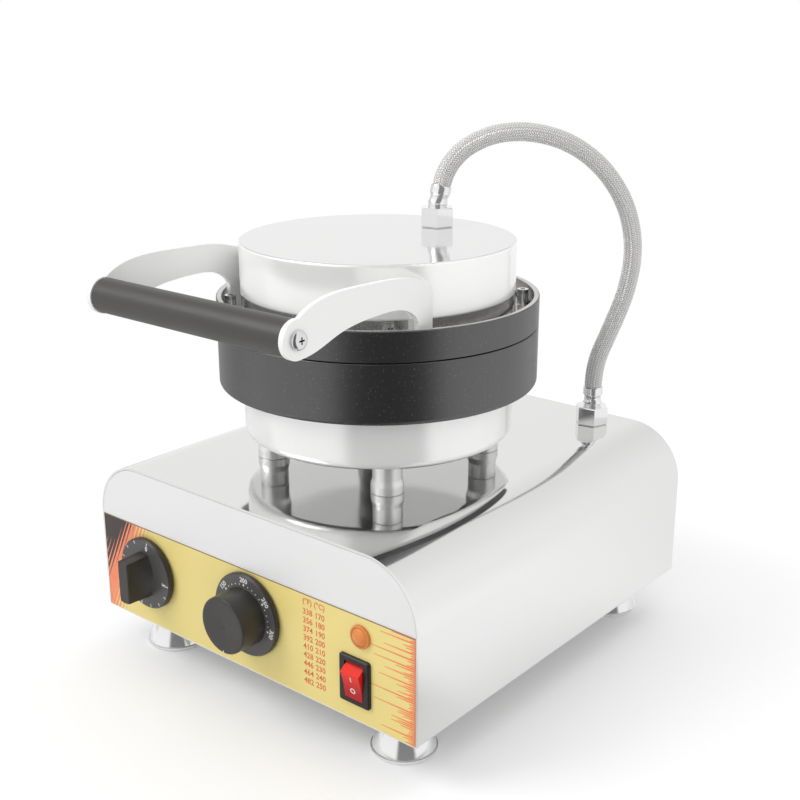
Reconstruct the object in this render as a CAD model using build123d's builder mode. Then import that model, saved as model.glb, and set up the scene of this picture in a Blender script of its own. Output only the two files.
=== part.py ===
from build123d import *
from math import asin, cos, hypot, pi, radians, sin, sqrt, tan
import os

os.makedirs("parts", exist_ok=True)

# Driving dimensions, in millimetres and degrees

# Housing: a folded steel box with two round shoulders
housing_width = 260.0
housing_depth = 279.0
housing_height = 102.5
shoulder_radius = 36.0
sheet = 1.5
bend_radius = 2.6
lip_width = 14.0
plate_clearance = 0.2
bottom_inset = 3.0
flange_depth = 12.0

# Feet: turned bells with a thin flange
foot_height = 24.5
foot_flange_radius = 19.3
foot_flange_height = 2.2
foot_neck_radius = 10.5
foot_inset_x = 32.8
foot_inset_y = 28.3
foot_screw_radius = 3.0
foot_screw_depth = 14.0

# Head: two cast moulds, each with a steel cover
head_setback = 19.2
mould_radius = 98.2
cover_radius = 83.7
cover_sheet = 1.2
post_height = 18.4
post_radius = 8.9
post_foot_radius = 9.9
post_foot_height = 5.0
post_flare = 3.6
post_bore_radius = 4.6
post_spacing = 94.0
lower_cover_height = 32.3
lower_cover_bend = 5.0
lower_mould_height = 35.7
parting_gap = 0.4
edge_chamfer = 0.8
trough_floor = 6.3
trough_depth = 12.0
rim_wall = 3.4
upper_cover_height = 45.1
upper_cover_bend = 1.6
cover_flange = 8.3
spigot_height = 4.0
spigot_clearance = 0.3

# Bowl cavity, plug and waffle lattice
bowl_mouth_radius = 72.0
bowl_floor_radius = 34.0
bowl_depth = 44.0
bowl_corner = 16.0
mouth_corner = 2.5
waffle_gap = 10.0
mould_wall = 8.0
pocket_roof = 16.0
pocket_radius = 87.0
rib_width = 2.6
rib_height = 2.4
rib_count = 24
rib_rings = (44.0, 56.0)
hub_ring_radius = 30.0
floor_rib_pitch = 15.0

# Hinge at the back of the head
hinge_reach = 11.8
hinge_eye_radius = 9.0
hinge_pin_radius = 4.0
hinge_clearance = 0.05
middle_ear_width = 30.0
outer_ear_width = 8.0
ear_gap = 0.4
pin_head_radius = 6.5
pin_head_height = 2.5
stop_gap = 0.3
stop_reach = 12.0

# Handle: two plate arms, a tube grip and a rod
arm_outer_x = 76.0
arm_sheet = 3.0
arm_root_rear = 42.5
arm_root_width = 12.0
arm_slot_depth = 4.0
arm_slot_clearance = 0.15
arm_eye_radius = 10.4
arm_eye_reach = 147.3
arm_eye_rise = 24.7
arm_crown_reach = 93.0
arm_crown_rise = 43.0
arm_shoulder_rise = 38.0
arm_underside_rise = 25.6
arm_underside_reach = 84.0
grip_radius = 9.9
grip_bore_radius = 4.3
rod_radius = 4.1
handle_screw_radius = 2.5
handle_screw_depth = 12.0
handle_screw_head_radius = 5.3
handle_screw_head_height = 2.8
tapped_clearance = 0.05

# Cap screws on pillars in the trough
pillar_circle_radius = 89.6
pillar_radius = 3.6
pillar_height = 7.4
cap_screw_radius = 2.0
cap_head_radius = 3.5
cap_head_height = 2.6
cap_screw_depth = 4.6

# Heating elements and their clamps
heater_tube_radius = 3.5
heater_arc = 316.0
heater_drop = 42.0
heater_rise_below_split = 3.0
heater_seat_gap = 0.3
heater_leg = 10.0
heater_bend = 6.0
clamp_sheet = 1.5
clamp_gap = 0.3
clamp_screw_radius = 3.0
clamp_screw_depth = 6.0

# Conduit between housing and lid, with a nut and a ferrule at each end
nut_flats = 19.5
nut_height = 12.2
nut_turn = 10.0
nut_chamfer = 0.7
nipple_radius = 6.0
nipple_depth = 9.0
locknut_height = 4.0
ferrule_radius = 6.6
ferrule_waist_radius = 5.7
ferrule_height = 13.6
ferrule_lean = 12.0
hose_radius = 5.9
upper_fitting_x = 4.0
upper_fitting_behind_head = 52.5
lower_fitting_x = 73.8
lower_fitting_y = 116.8
fitting_hole_clearance = 0.3

# Front panel: dials, lamp and switch, measured from the middle of the front's lower edge
label_height = 65.0
label_sheet = 0.4
label_margin = 1.0
timer_x = -84.5
timer_rise = 37.0
timer_skirt_radius = 23.0
timer_skirt_height = 3.6
timer_grip_reach = 13.2
timer_grip_bulge = 9.0
timer_grip_height = 20.0
timer_bar_width = 8.6
thermostat_x = 4.6
thermostat_rise = 38.4
thermostat_skirt_radius = 25.5
thermostat_skirt_height = 3.0
thermostat_grip_radius = 17.6
thermostat_face_radius = 17.2
thermostat_grip_height = 20.2
knob_gap = 1.2
knob_wall = 2.2
knob_hub_radius = 6.0
shaft_radius = 3.0
shaft_clearance = 0.05
bush_radius = 4.8
bush_clearance = 0.2
bush_reach = 3.6
bush_nut_flats = 14.0
bush_nut_height = 2.0
timer_body_size = 46.0
timer_body_depth = 30.0
thermostat_body_width = 38.0
thermostat_body_height = 34.0
thermostat_body_depth = 27.0
lamp_x = 91.0
lamp_rise = 53.5
lamp_bezel_radius = 6.8
lamp_bezel_height = 1.8
lamp_lens_radius = 5.2
lamp_lens_rise = 1.8
lamp_body_radius = 5.6
lamp_body_depth = 18.0
switch_x = 87.0
switch_rise = 25.5
switch_width = 21.6
switch_height = 28.6
switch_bezel = 2.2
switch_window_width = 13.4
switch_window_height = 22.4
switch_body_depth = 18.0
rocker_clearance = 0.3
rocker_proud = 5.8
rocker_low_proud = 2.2
rocker_ridge_drop = 5.0
rocker_pin_radius = 1.5

# Rear and inside of the housing
gland_x = -70.0
gland_rise = 34.0
gland_length = 16.0
gland_radius = 9.5
gland_bore_radius = 4.0
gland_nut_flats = 22.0
gland_nut_height = 5.0
gland_thread_radius = 7.8
slot_length = 26.0
slot_width = 3.2
slot_pitch = 9.0
slot_rows = 6
block_inset = 52.0
block_length = 52.0
block_depth = 20.0
block_height = 16.0
block_pole_count = 5
plate_screw_radius = 1.6
plate_screw_head_radius = 3.0
plate_screw_head_height = 1.6
plate_screw_depth = 4.0
lip_screw_pitch = 110.0
post_bolt_radius = 3.0
post_bolt_depth = 14.0
bolt_flats = 10.0
bolt_head_height = 4.0
hole_clearance = 0.25

# Thermostat bulb and its capillary tube
bulb_radius = 3.0
bulb_length = 40.0
bulb_circle_radius = 71.5
capillary_radius = 1.1
capillary_exit_rise = 6.0
capillary_lead = 30.0
capillary_dip = 34.0
capillary_turn = 20.0
capillary_bend = 12.0
bulb_entry = 7.0

# Heights and depths that follow from them
base_z = foot_height + sheet
deck_z = base_z + housing_height
cover_floor_z = deck_z + post_height
lower_mould_z = cover_floor_z + lower_cover_height
split_z = lower_mould_z + lower_mould_height
trough_z = split_z + trough_floor
rim_z = trough_z + trough_depth
upper_top_z = trough_z + upper_cover_height

front_reach = head_setback + arm_eye_reach + arm_eye_radius
rear_reach = housing_depth / 2 + gland_length
housing_y = (front_reach - rear_reach) / 2
front_y = housing_y - housing_depth / 2
back_y = housing_y + housing_depth / 2
panel_y = front_y - label_sheet
head_y = housing_y - head_setback
hinge_y = head_y + mould_radius + hinge_reach
post_half = post_spacing / 2
foot_spacing_x = housing_width - 2 * foot_inset_x
foot_spacing_y = housing_depth - 2 * foot_inset_y

timer_z = base_z + timer_rise
thermostat_z = base_z + thermostat_rise
lamp_z = base_z + lamp_rise
switch_z = base_z + switch_rise

lip_screw_x = housing_width / 2 - lip_width / 2
head_axis = Axis((0, head_y, 0), (0, 0, 1))
head_section = Plane(origin=(0, head_y, split_z), x_dir=(1, 0, 0), z_dir=(0, -1, 0))


def level(z, x=0.0, y=0.0):
    """Plane that faces up at height z, with its origin at x, y."""
    return Plane(origin=(x, y, z), x_dir=(1, 0, 0), z_dir=(0, 0, 1))


def facing_right(x, y, z):
    """Plane that faces the right side, with local x to the rear and local y up."""
    return Plane(origin=(x, y, z), x_dir=(0, 1, 0), z_dir=(1, 0, 0))


def facing_rear(x, y, z):
    """Plane that faces the rear, with local x to the right and local y down."""
    return Plane(origin=(x, y, z), x_dir=(1, 0, 0), z_dir=(0, 1, 0))


def facing_front(x, y, z):
    """Plane that faces the front, with local x to the right and local y up."""
    return Plane(origin=(x, y, z), x_dir=(1, 0, 0), z_dir=(0, -1, 0))


def save(part, name):
    """Label a finished piece and write its STEP file."""
    part.label = name
    export_step(part, f"parts/{name}.step")


def cone_radius(depth, inward=0.0):
    """Radius of the bowl's wall at a depth below the split, moved inward square to the wall."""
    run = bowl_mouth_radius - bowl_floor_radius
    slant = hypot(run, bowl_depth) / bowl_depth
    return bowl_mouth_radius - run * depth / bowl_depth - inward * slant


# Housing shell: top, shoulders and sides in one folded sheet, open at both ends
with BuildPart() as housing_shell:
    with BuildSketch(facing_front(0, back_y, base_z)):
        half = housing_width / 2
        with BuildLine():
            FilletPolyline(
                (-half, 0), (half, 0), (half, housing_height), (-half, housing_height),
                radius=[bend_radius, bend_radius, shoulder_radius, shoulder_radius],
                close=True,
            )
        make_face()
        inner = half - sheet
        with BuildLine():
            FilletPolyline(
                (-inner, sheet), (inner, sheet),
                (inner, housing_height - sheet), (-inner, housing_height - sheet),
                radius=[
                    bend_radius - sheet, bend_radius - sheet,
                    shoulder_radius - sheet, shoulder_radius - sheet,
                ],
                close=True,
            )
        make_face(mode=Mode.SUBTRACT)
        with Locations((0, sheet / 2)):
            Rectangle(housing_width - 2 * lip_width, sheet, mode=Mode.SUBTRACT)
    extrude(amount=housing_depth)
    # The lips stop short of the end plates
    end_cut = sheet + plate_clearance
    cut_height = sheet + bend_radius
    for y in (front_y + end_cut / 2, back_y - end_cut / 2):
        with Locations((0, y, base_z + cut_height / 2)):
            Box(housing_width - 2 * sheet, end_cut, cut_height, mode=Mode.SUBTRACT)
    # Tapped holes in the lips
    with BuildSketch(level(base_z, y=housing_y)):
        with GridLocations(2 * lip_screw_x, lip_screw_pitch, 2, 2):
            Circle(plate_screw_radius + tapped_clearance)
    extrude(amount=sheet, mode=Mode.SUBTRACT)
    # Holes in the deck: three bolts, one wider hole for the leads, and the conduit's nipple
    with BuildSketch(level(deck_z, y=head_y)):
        with Locations((-post_half, -post_half), (post_half, -post_half), (post_half, post_half)):
            Circle(post_bolt_radius + hole_clearance)
        with Locations((-post_half, post_half)):
            Circle(post_bore_radius)
    extrude(amount=-sheet, mode=Mode.SUBTRACT)
    with BuildSketch(level(deck_z, lower_fitting_x, housing_y + lower_fitting_y)):
        Circle(nipple_radius + fitting_hole_clearance)
    extrude(amount=-sheet, mode=Mode.SUBTRACT)
save(housing_shell.part, "housing_shell")


# Outline of both end plates, which drop into the shell's open ends
with BuildSketch() as end_plate_outline:
    side = housing_width / 2 - sheet - plate_clearance
    top = housing_height - sheet - plate_clearance
    corner = shoulder_radius - sheet - plate_clearance
    with BuildLine():
        FilletPolyline(
            (-side, 0), (side, 0), (side, top), (-side, top),
            radius=[0, 0, corner, corner],
            close=True,
        )
    make_face()

flange_width = housing_width - 2 * (lip_width + 1)

# Front plate: a sheet with a flange that stands on the bottom plate
with BuildPart() as front_plate:
    with BuildSketch(facing_front(0, front_y + sheet, base_z)):
        add(end_plate_outline.sketch)
    extrude(amount=sheet)
    with Locations((0, front_y + sheet + flange_depth / 2, base_z + sheet / 2)):
        Box(flange_width, flange_depth, sheet)
    with BuildSketch(facing_front(0, front_y, 0)):
        with Locations((timer_x, timer_z), (thermostat_x, thermostat_z)):
            Circle(bush_radius + bush_clearance)
        with Locations((lamp_x, lamp_z)):
            Circle(lamp_body_radius + hole_clearance)
        with Locations((switch_x, switch_z)):
            Rectangle(switch_width - 2.4, switch_height - 2.4)
    extrude(amount=-sheet, mode=Mode.SUBTRACT)
save(front_plate.part, "front_plate")

# Rear plate: the same sheet with air slots and the mains gland's hole
with BuildPart() as rear_plate:
    with BuildSketch(facing_front(0, back_y, base_z)):
        add(end_plate_outline.sketch)
    extrude(amount=sheet)
    with Locations((0, back_y - sheet - flange_depth / 2, base_z + sheet / 2)):
        Box(flange_width, flange_depth, sheet)
    with BuildSketch(facing_front(0, back_y, base_z)):
        with Locations((gland_x, gland_rise)):
            Circle(gland_thread_radius + hole_clearance)
        with Locations((0, housing_height / 2)):
            with GridLocations(2 * slot_length, slot_pitch, 2, slot_rows):
                SlotOverall(slot_length, slot_width)
    extrude(amount=sheet, mode=Mode.SUBTRACT)
save(rear_plate.part, "rear_plate")

# Bottom plate: screwed under the lips, with the feet and air slots
bottom_width = housing_width - 2 * bottom_inset
bottom_depth = housing_depth - 2 * bottom_inset
with BuildPart() as bottom_plate:
    with BuildSketch(level(foot_height, y=housing_y)):
        RectangleRounded(bottom_width, bottom_depth, 4.0)
        with GridLocations(foot_spacing_x, foot_spacing_y, 2, 2):
            Circle(foot_screw_radius + hole_clearance, mode=Mode.SUBTRACT)
        with GridLocations(2 * lip_screw_x, lip_screw_pitch, 2, 2):
            Circle(plate_screw_radius + hole_clearance, mode=Mode.SUBTRACT)
        with GridLocations(60.0, slot_pitch, 2, slot_rows):
            SlotOverall(slot_length, slot_width, mode=Mode.SUBTRACT)
    extrude(amount=sheet)
save(bottom_plate.part, "bottom_plate")

# Screws that hold the bottom plate under the lips
with BuildPart() as bottom_screws:
    with BuildSketch(level(foot_height, y=housing_y)):
        with GridLocations(2 * lip_screw_x, lip_screw_pitch, 2, 2):
            Circle(plate_screw_head_radius)
    extrude(amount=-plate_screw_head_height)
    with BuildSketch(level(foot_height, y=housing_y)):
        with GridLocations(2 * lip_screw_x, lip_screw_pitch, 2, 2):
            Circle(plate_screw_radius)
    extrude(amount=sheet + plate_screw_depth)
save(bottom_screws.part, "bottom_screws")

# Feet: turned bells, each pulled up to the bottom plate by a screw from inside
foot_places = {
    "front_left": (-foot_spacing_x / 2, housing_y - foot_spacing_y / 2),
    "front_right": (foot_spacing_x / 2, housing_y - foot_spacing_y / 2),
    "rear_left": (-foot_spacing_x / 2, housing_y + foot_spacing_y / 2),
    "rear_right": (foot_spacing_x / 2, housing_y + foot_spacing_y / 2),
}
for corner_name, (foot_x, foot_y) in foot_places.items():
    with BuildPart() as foot:
        with BuildSketch(facing_front(foot_x, foot_y, 0)):
            with BuildLine():
                lip = Polyline(
                    (0, 0), (foot_flange_radius - 0.8, 0), (foot_flange_radius, 0.8),
                    (foot_flange_radius, foot_flange_height),
                    (foot_flange_radius - 1, foot_flange_height + 0.4),
                )
                bell = ThreePointArc(
                    lip @ 1, (foot_neck_radius + 5.0, foot_height * 0.41),
                    (foot_neck_radius, foot_height - 5),
                )
                Polyline(bell @ 1, (foot_neck_radius, foot_height), (0, foot_height), (0, 0))
            make_face()
        revolve(axis=Axis((foot_x, foot_y, 0), (0, 0, 1)))
        with Locations(level(foot_height, foot_x, foot_y)):
            Hole(foot_screw_radius + tapped_clearance, depth=foot_screw_depth)
    save(foot.part, f"foot_{corner_name}")

# Foot screws: hexagon heads inside the housing
with BuildPart() as foot_screws:
    with BuildSketch(level(base_z, y=housing_y)):
        with GridLocations(foot_spacing_x, foot_spacing_y, 2, 2):
            RegularPolygon(bolt_flats / 2, 6, major_radius=False)
    extrude(amount=bolt_head_height)
    with BuildSketch(level(base_z, y=housing_y)):
        with GridLocations(foot_spacing_x, foot_spacing_y, 2, 2):
            Circle(foot_screw_radius)
    extrude(amount=-(sheet + foot_screw_depth - 1))
save(foot_screws.part, "foot_screws")

# Posts: short turned tubes with a wider foot, between the deck and the lower cover
post_places = {
    "front_left": (-post_half, -post_half),
    "front_right": (post_half, -post_half),
    "rear_left": (-post_half, post_half),
    "rear_right": (post_half, post_half),
}
for corner_name, (post_x, post_dy) in post_places.items():
    with BuildPart() as post:
        with BuildSketch(facing_front(post_x, head_y + post_dy, deck_z)):
            with BuildLine():
                FilletPolyline(
                    (post_bore_radius, 0), (post_foot_radius - 0.4, 0), (post_foot_radius, 0.4),
                    (post_foot_radius, post_foot_height), (post_radius, post_foot_height + post_flare),
                    (post_radius, post_height - 0.4), (post_radius - 0.4, post_height),
                    (post_bore_radius, post_height),
                    radius=[0, 0, 0, 3.0, 3.0, 0, 0, 0],
                    close=True,
                )
            make_face()
        revolve(axis=Axis((post_x, head_y + post_dy, 0), (0, 0, 1)))
    save(post.part, f"post_{corner_name}")

bolt_points = [(-post_half, -post_half), (post_half, -post_half), (post_half, post_half)]
boss_radius = 6.2

# Post bolts: three, up through deck, post and cover into the lower mould
with BuildPart() as post_bolts:
    with BuildSketch(level(deck_z - sheet, y=head_y)):
        with Locations(*bolt_points):
            RegularPolygon(bolt_flats / 2, 6, major_radius=False)
    extrude(amount=-bolt_head_height)
    with BuildSketch(level(deck_z - sheet, y=head_y)):
        with Locations(*bolt_points):
            Circle(post_bolt_radius)
    extrude(amount=sheet + post_height + cover_sheet + post_bolt_depth)
save(post_bolts.part, "post_bolts")

# Lower cover: a polished steel cup that stands on the posts
cover_depth = lower_mould_z - cover_floor_z
with BuildPart() as lower_cover:
    with BuildSketch(facing_front(0, head_y, cover_floor_z)):
        with BuildLine():
            FilletPolyline(
                (0, 0), (cover_radius, 0), (cover_radius, cover_depth),
                (cover_radius - cover_sheet, cover_depth), (cover_radius - cover_sheet, cover_sheet),
                (0, cover_sheet),
                radius=[0, lower_cover_bend, 0, 0, lower_cover_bend - cover_sheet, 0],
                close=True,
            )
        make_face()
    revolve(axis=head_axis)
    with BuildSketch(level(cover_floor_z, y=head_y)):
        with Locations(*bolt_points):
            Circle(post_bolt_radius + hole_clearance)
        with Locations((-post_half, post_half)):
            Circle(post_bore_radius)
    extrude(amount=cover_sheet, mode=Mode.SUBTRACT)
save(lower_cover.part, "lower_cover")


def waffle_ribs(outer_in, inner_in, floor_in, floor_out):
    """Lattice between two bowl shapes: wall ribs, rings, and a square grid on the floor."""
    with BuildPart() as lattice:
        reach = bowl_mouth_radius
        with Locations(level(split_z, y=head_y)):
            with PolarLocations(0, rib_count // 2, angular_range=180):
                Box(2 * reach, rib_width, 2.4 * bowl_depth)
        with Locations(level(split_z, y=head_y)):
            Cylinder(hub_ring_radius, 2.4 * bowl_depth, mode=Mode.SUBTRACT)
        for ring_radius in rib_rings:
            with BuildSketch(level(split_z - 1.2 * bowl_depth, y=head_y)):
                Circle(ring_radius + rib_width / 2)
                Circle(ring_radius - rib_width / 2, mode=Mode.SUBTRACT)
            extrude(amount=2.4 * bowl_depth)
        with BuildSketch(level(split_z - 1.2 * bowl_depth, y=head_y)):
            Circle(hub_ring_radius + rib_width / 2)
            Circle(hub_ring_radius - rib_width / 2, mode=Mode.SUBTRACT)
            with BuildSketch(mode=Mode.PRIVATE) as grid:
                with GridLocations(floor_rib_pitch, 0, 4, 1):
                    Rectangle(rib_width, 2 * hub_ring_radius)
                with GridLocations(0, floor_rib_pitch, 1, 4):
                    Rectangle(2 * hub_ring_radius, rib_width)
                Circle(hub_ring_radius, mode=Mode.INTERSECT)
            add(grid.sketch)
        extrude(amount=2.4 * bowl_depth)
        with BuildSketch(head_section):
            with BuildLine():
                FilletPolyline(
                    (0, 0), (cone_radius(0, outer_in), 0),
                    (cone_radius(floor_out, outer_in), -floor_out), (0, -floor_out),
                    radius=[0, 0, bowl_corner, 0],
                    close=True,
                )
            make_face()
            with BuildLine():
                FilletPolyline(
                    (0, 0), (cone_radius(0, inner_in), 0),
                    (cone_radius(floor_in, inner_in), -floor_in), (0, -floor_in),
                    radius=[0, 0, bowl_corner, 0],
                    close=True,
                )
            make_face(mode=Mode.SUBTRACT)
        revolve(axis=head_axis, mode=Mode.INTERSECT)
    return lattice.part


# Lower mould: a casting with the bowl cavity, its waffle lattice, bosses and the middle hinge ear
bulge_depth = bowl_depth + mould_wall
middle_ear_half = middle_ear_width / 2
stop_height = hinge_reach - stop_gap
lower_ribs = waffle_ribs(0.0, rib_height, bowl_depth - rib_height, bowl_depth)
ear_plane_origin = (-middle_ear_half, hinge_y, split_z)
with BuildPart() as lower_mould:
    with BuildSketch(head_section):
        with BuildLine():
            FilletPolyline(
                (0, -bulge_depth),
                (cone_radius(bulge_depth, -mould_wall), -bulge_depth),
                (cone_radius(pocket_roof, -mould_wall), -pocket_roof),
                (pocket_radius - 8, -pocket_roof),
                (pocket_radius - 8, -lower_mould_height - spigot_height),
                (cover_radius - cover_sheet - spigot_clearance, -lower_mould_height - spigot_height),
                (cover_radius - cover_sheet - spigot_clearance, -lower_mould_height),
                (mould_radius, -lower_mould_height),
                (mould_radius, 0),
                (bowl_mouth_radius, 0),
                (bowl_floor_radius, -bowl_depth),
                (0, -bowl_depth),
                radius=[
                    0, bowl_corner + mould_wall, 6.0, 2.0, 0, 0, 0,
                    2.5, edge_chamfer, mouth_corner, bowl_corner, 0,
                ],
                close=True,
            )
        make_face()
    revolve(axis=head_axis)
    # Bosses for the three post bolts
    with BuildSketch(level(cover_floor_z + cover_sheet, y=head_y)):
        with Locations(*bolt_points):
            Circle(boss_radius)
    extrude(amount=split_z - pocket_roof - 1 - cover_floor_z)
    # Bowl and bosses are cleared again above the pocket
    with BuildSketch(head_section):
        with BuildLine():
            FilletPolyline(
                (0, 0), (bowl_mouth_radius, 0), (bowl_floor_radius, -bowl_depth), (0, -bowl_depth),
                radius=[0, 0, bowl_corner, 0],
                close=True,
            )
        make_face()
    revolve(axis=head_axis, mode=Mode.SUBTRACT)
    with BuildSketch(level(cover_floor_z + cover_sheet, y=head_y)):
        with Locations(*bolt_points):
            Circle(post_bolt_radius + tapped_clearance)
    extrude(amount=post_bolt_depth + 1, mode=Mode.SUBTRACT)
    # Tapped hole for the clamp screw, under the bowl
    with Locations(Plane(origin=(0, head_y, split_z - bulge_depth), z_dir=(0, 0, -1))):
        Hole(clamp_screw_radius + tapped_clearance, depth=clamp_screw_depth)
    # Middle hinge ear with a horn that stops the open lid
    with BuildSketch(Plane(origin=ear_plane_origin, x_dir=(0, 1, 0), z_dir=(1, 0, 0))):
        Circle(hinge_eye_radius)
        with BuildLine():
            Polyline(
                (0, stop_height), (stop_reach, stop_height), (stop_reach, 2),
                (2, -hinge_eye_radius + 0.2), (-hinge_reach - 2, -hinge_eye_radius - 5),
                (-hinge_reach - 2, -1.2), (-hinge_eye_radius, -1.2), (0, 2),
                close=True,
            )
        make_face()
        Circle(hinge_pin_radius + hinge_clearance, mode=Mode.SUBTRACT)
    extrude(amount=middle_ear_width)
    add(lower_ribs)
save(lower_mould.part, "lower_mould")

# Upper mould: rim and trough above, plug with the waffle lattice below, outer hinge ears
plug_depth = bowl_depth - waffle_gap
plug_inside_depth = plug_depth - mould_wall
trough_inner_radius = mould_radius - rim_wall
ear_inner_x = middle_ear_half + ear_gap
upper_ribs = waffle_ribs(waffle_gap - rib_height, waffle_gap, plug_depth, plug_depth + rib_height)
with BuildPart() as upper_mould:
    with BuildSketch(head_section):
        with BuildLine():
            FilletPolyline(
                (0, -plug_depth),
                (cone_radius(plug_depth, waffle_gap), -plug_depth),
                (cone_radius(0, waffle_gap), 0),
                (cone_radius(0, waffle_gap), parting_gap),
                (mould_radius, parting_gap),
                (mould_radius, rim_z - split_z),
                (trough_inner_radius, rim_z - split_z),
                (trough_inner_radius, trough_floor),
                (cone_radius(-trough_floor, waffle_gap + mould_wall), trough_floor),
                (cone_radius(plug_inside_depth, waffle_gap + mould_wall), -plug_inside_depth),
                (0, -plug_inside_depth),
                radius=[
                    0, bowl_corner - 6, 0, 0, edge_chamfer, 0.6, 0.6, 1.2, 2.0, 4.0, 0,
                ],
                close=True,
            )
        make_face()
    revolve(axis=head_axis)
    # Tapped holes for the cap screws
    with Locations(level(trough_z, y=head_y)):
        with PolarLocations(pillar_circle_radius, 4, start_angle=45):
            Hole(cap_screw_radius + tapped_clearance, depth=cap_screw_depth)
    # Slots for the handle arms' tongues
    slot_room = 2 * arm_slot_clearance
    for side in (-1, 1):
        with Locations((
            side * (arm_outer_x - arm_sheet / 2),
            head_y - arm_root_rear - arm_root_width / 2,
            trough_z - arm_slot_depth / 2,
        )):
            Box(arm_sheet + slot_room, arm_root_width + slot_room, arm_slot_depth, mode=Mode.SUBTRACT)
    # Tapped hole for the clamp stud, inside the plug
    with Locations(level(split_z - plug_inside_depth, y=head_y)):
        Hole(clamp_screw_radius + tapped_clearance, depth=clamp_screw_depth)
    # Two outer hinge ears
    for side_x in (-ear_inner_x - outer_ear_width, ear_inner_x):
        with BuildSketch(facing_right(side_x, hinge_y, split_z)):
            with BuildSketch(mode=Mode.PRIVATE) as ear:
                Circle(hinge_eye_radius)
                with Locations((-hinge_reach - 2, trough_floor + trough_depth / 2 - 1)):
                    Rectangle(1.0, trough_depth + trough_floor - 4)
                make_hull()
            add(ear.sketch)
            with Locations((-hinge_reach - 6, -6 + 1.2)):
                Rectangle(16.0, 12.0, mode=Mode.SUBTRACT)
            Circle(hinge_eye_radius)
            Circle(hinge_pin_radius + hinge_clearance, mode=Mode.SUBTRACT)
        extrude(amount=outer_ear_width)
    add(upper_ribs)
save(upper_mould.part, "upper_mould")

# Hinge pin: headed at one end, grooved for a clip at the other
pin_half = middle_ear_half + ear_gap + outer_ear_width
clip_height = 1.2
with BuildPart() as hinge_pin:
    with BuildSketch(facing_right(-pin_half - 0.2, hinge_y, split_z)):
        Circle(hinge_pin_radius)
    extrude(amount=2 * pin_half + 0.4 + clip_height + 1.5)
    with BuildSketch(facing_right(-pin_half - 0.2, hinge_y, split_z)):
        Circle(pin_head_radius)
    extrude(amount=-pin_head_height)
    chamfer(hinge_pin.faces().sort_by(Axis.X)[0].edges(), 0.8)
    groove_x = pin_half + 0.2
    with BuildSketch(facing_right(groove_x, hinge_y, split_z)):
        Circle(hinge_pin_radius + 1)
        Circle(hinge_pin_radius - 0.6, mode=Mode.SUBTRACT)
    extrude(amount=clip_height, mode=Mode.SUBTRACT)
save(hinge_pin.part, "hinge_pin")

# Spring clip in the pin's groove
with BuildPart() as hinge_clip:
    with BuildSketch(facing_right(groove_x + 0.1, hinge_y, split_z)):
        Circle(pin_head_radius)
        Circle(hinge_pin_radius - 0.55, mode=Mode.SUBTRACT)
        with Locations((0, -pin_head_radius)):
            Rectangle(4.0, 9.0, mode=Mode.SUBTRACT)
    extrude(amount=clip_height - 0.2)
save(hinge_clip.part, "hinge_clip")

# Upper cover: a polished steel cap, its flange clamped in the trough
flange_radius = cover_radius + cover_flange
fitting_y = head_y + upper_fitting_behind_head
with BuildPart() as upper_cover:
    with BuildSketch(facing_front(0, head_y, trough_z)):
        with BuildLine():
            FilletPolyline(
                (0, upper_cover_height), (cover_radius, upper_cover_height),
                (cover_radius, cover_sheet), (flange_radius, cover_sheet), (flange_radius, 0),
                (cover_radius - cover_sheet, 0),
                (cover_radius - cover_sheet, upper_cover_height - cover_sheet),
                (0, upper_cover_height - cover_sheet),
                radius=[0, upper_cover_bend, 0.6, 0, 0, 0, upper_cover_bend - cover_sheet, 0],
                close=True,
            )
        make_face()
    revolve(axis=head_axis)
    with Locations(level(trough_z + cover_sheet, y=head_y)):
        with PolarLocations(pillar_circle_radius, 4, start_angle=45):
            Hole(cap_screw_radius + hole_clearance, depth=cover_sheet)
    # The flange is notched for the handle arms
    for side in (-1, 1):
        with Locations((
            side * (arm_outer_x + arm_sheet),
            head_y - arm_root_rear - arm_root_width / 2,
            trough_z + cover_sheet / 2,
        )):
            Box(3 * arm_sheet + 3.0, arm_root_width + 3.0, cover_sheet, mode=Mode.SUBTRACT)
    with BuildSketch(level(upper_top_z, upper_fitting_x, fitting_y)):
        Circle(nipple_radius + fitting_hole_clearance)
    extrude(amount=-cover_sheet, mode=Mode.SUBTRACT)
save(upper_cover.part, "upper_cover")

# Pillars on the flange, and the cap screws through them
pillar_z = trough_z + cover_sheet
with BuildPart() as cover_pillars:
    with BuildSketch(level(pillar_z, y=head_y)):
        with PolarLocations(pillar_circle_radius, 4, start_angle=45):
            Circle(pillar_radius)
            Circle(cap_screw_radius + hole_clearance, mode=Mode.SUBTRACT)
    extrude(amount=pillar_height)
save(cover_pillars.part, "cover_pillars")

with BuildPart() as cover_screws:
    with BuildSketch(level(pillar_z + pillar_height, y=head_y)):
        with PolarLocations(pillar_circle_radius, 4, start_angle=45):
            Circle(cap_head_radius)
    extrude(amount=cap_head_height)
    with BuildSketch(level(pillar_z + pillar_height + cap_head_height, y=head_y)):
        with PolarLocations(pillar_circle_radius, 4, start_angle=45):
            RegularPolygon(1.5, 6)
    extrude(amount=-1.6, mode=Mode.SUBTRACT)
    with BuildSketch(level(pillar_z + pillar_height, y=head_y)):
        with PolarLocations(pillar_circle_radius, 4, start_angle=45):
            Circle(cap_screw_radius)
    extrude(amount=-(pillar_height + cover_sheet + cap_screw_depth - 0.3))
save(cover_screws.part, "cover_screws")


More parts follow.
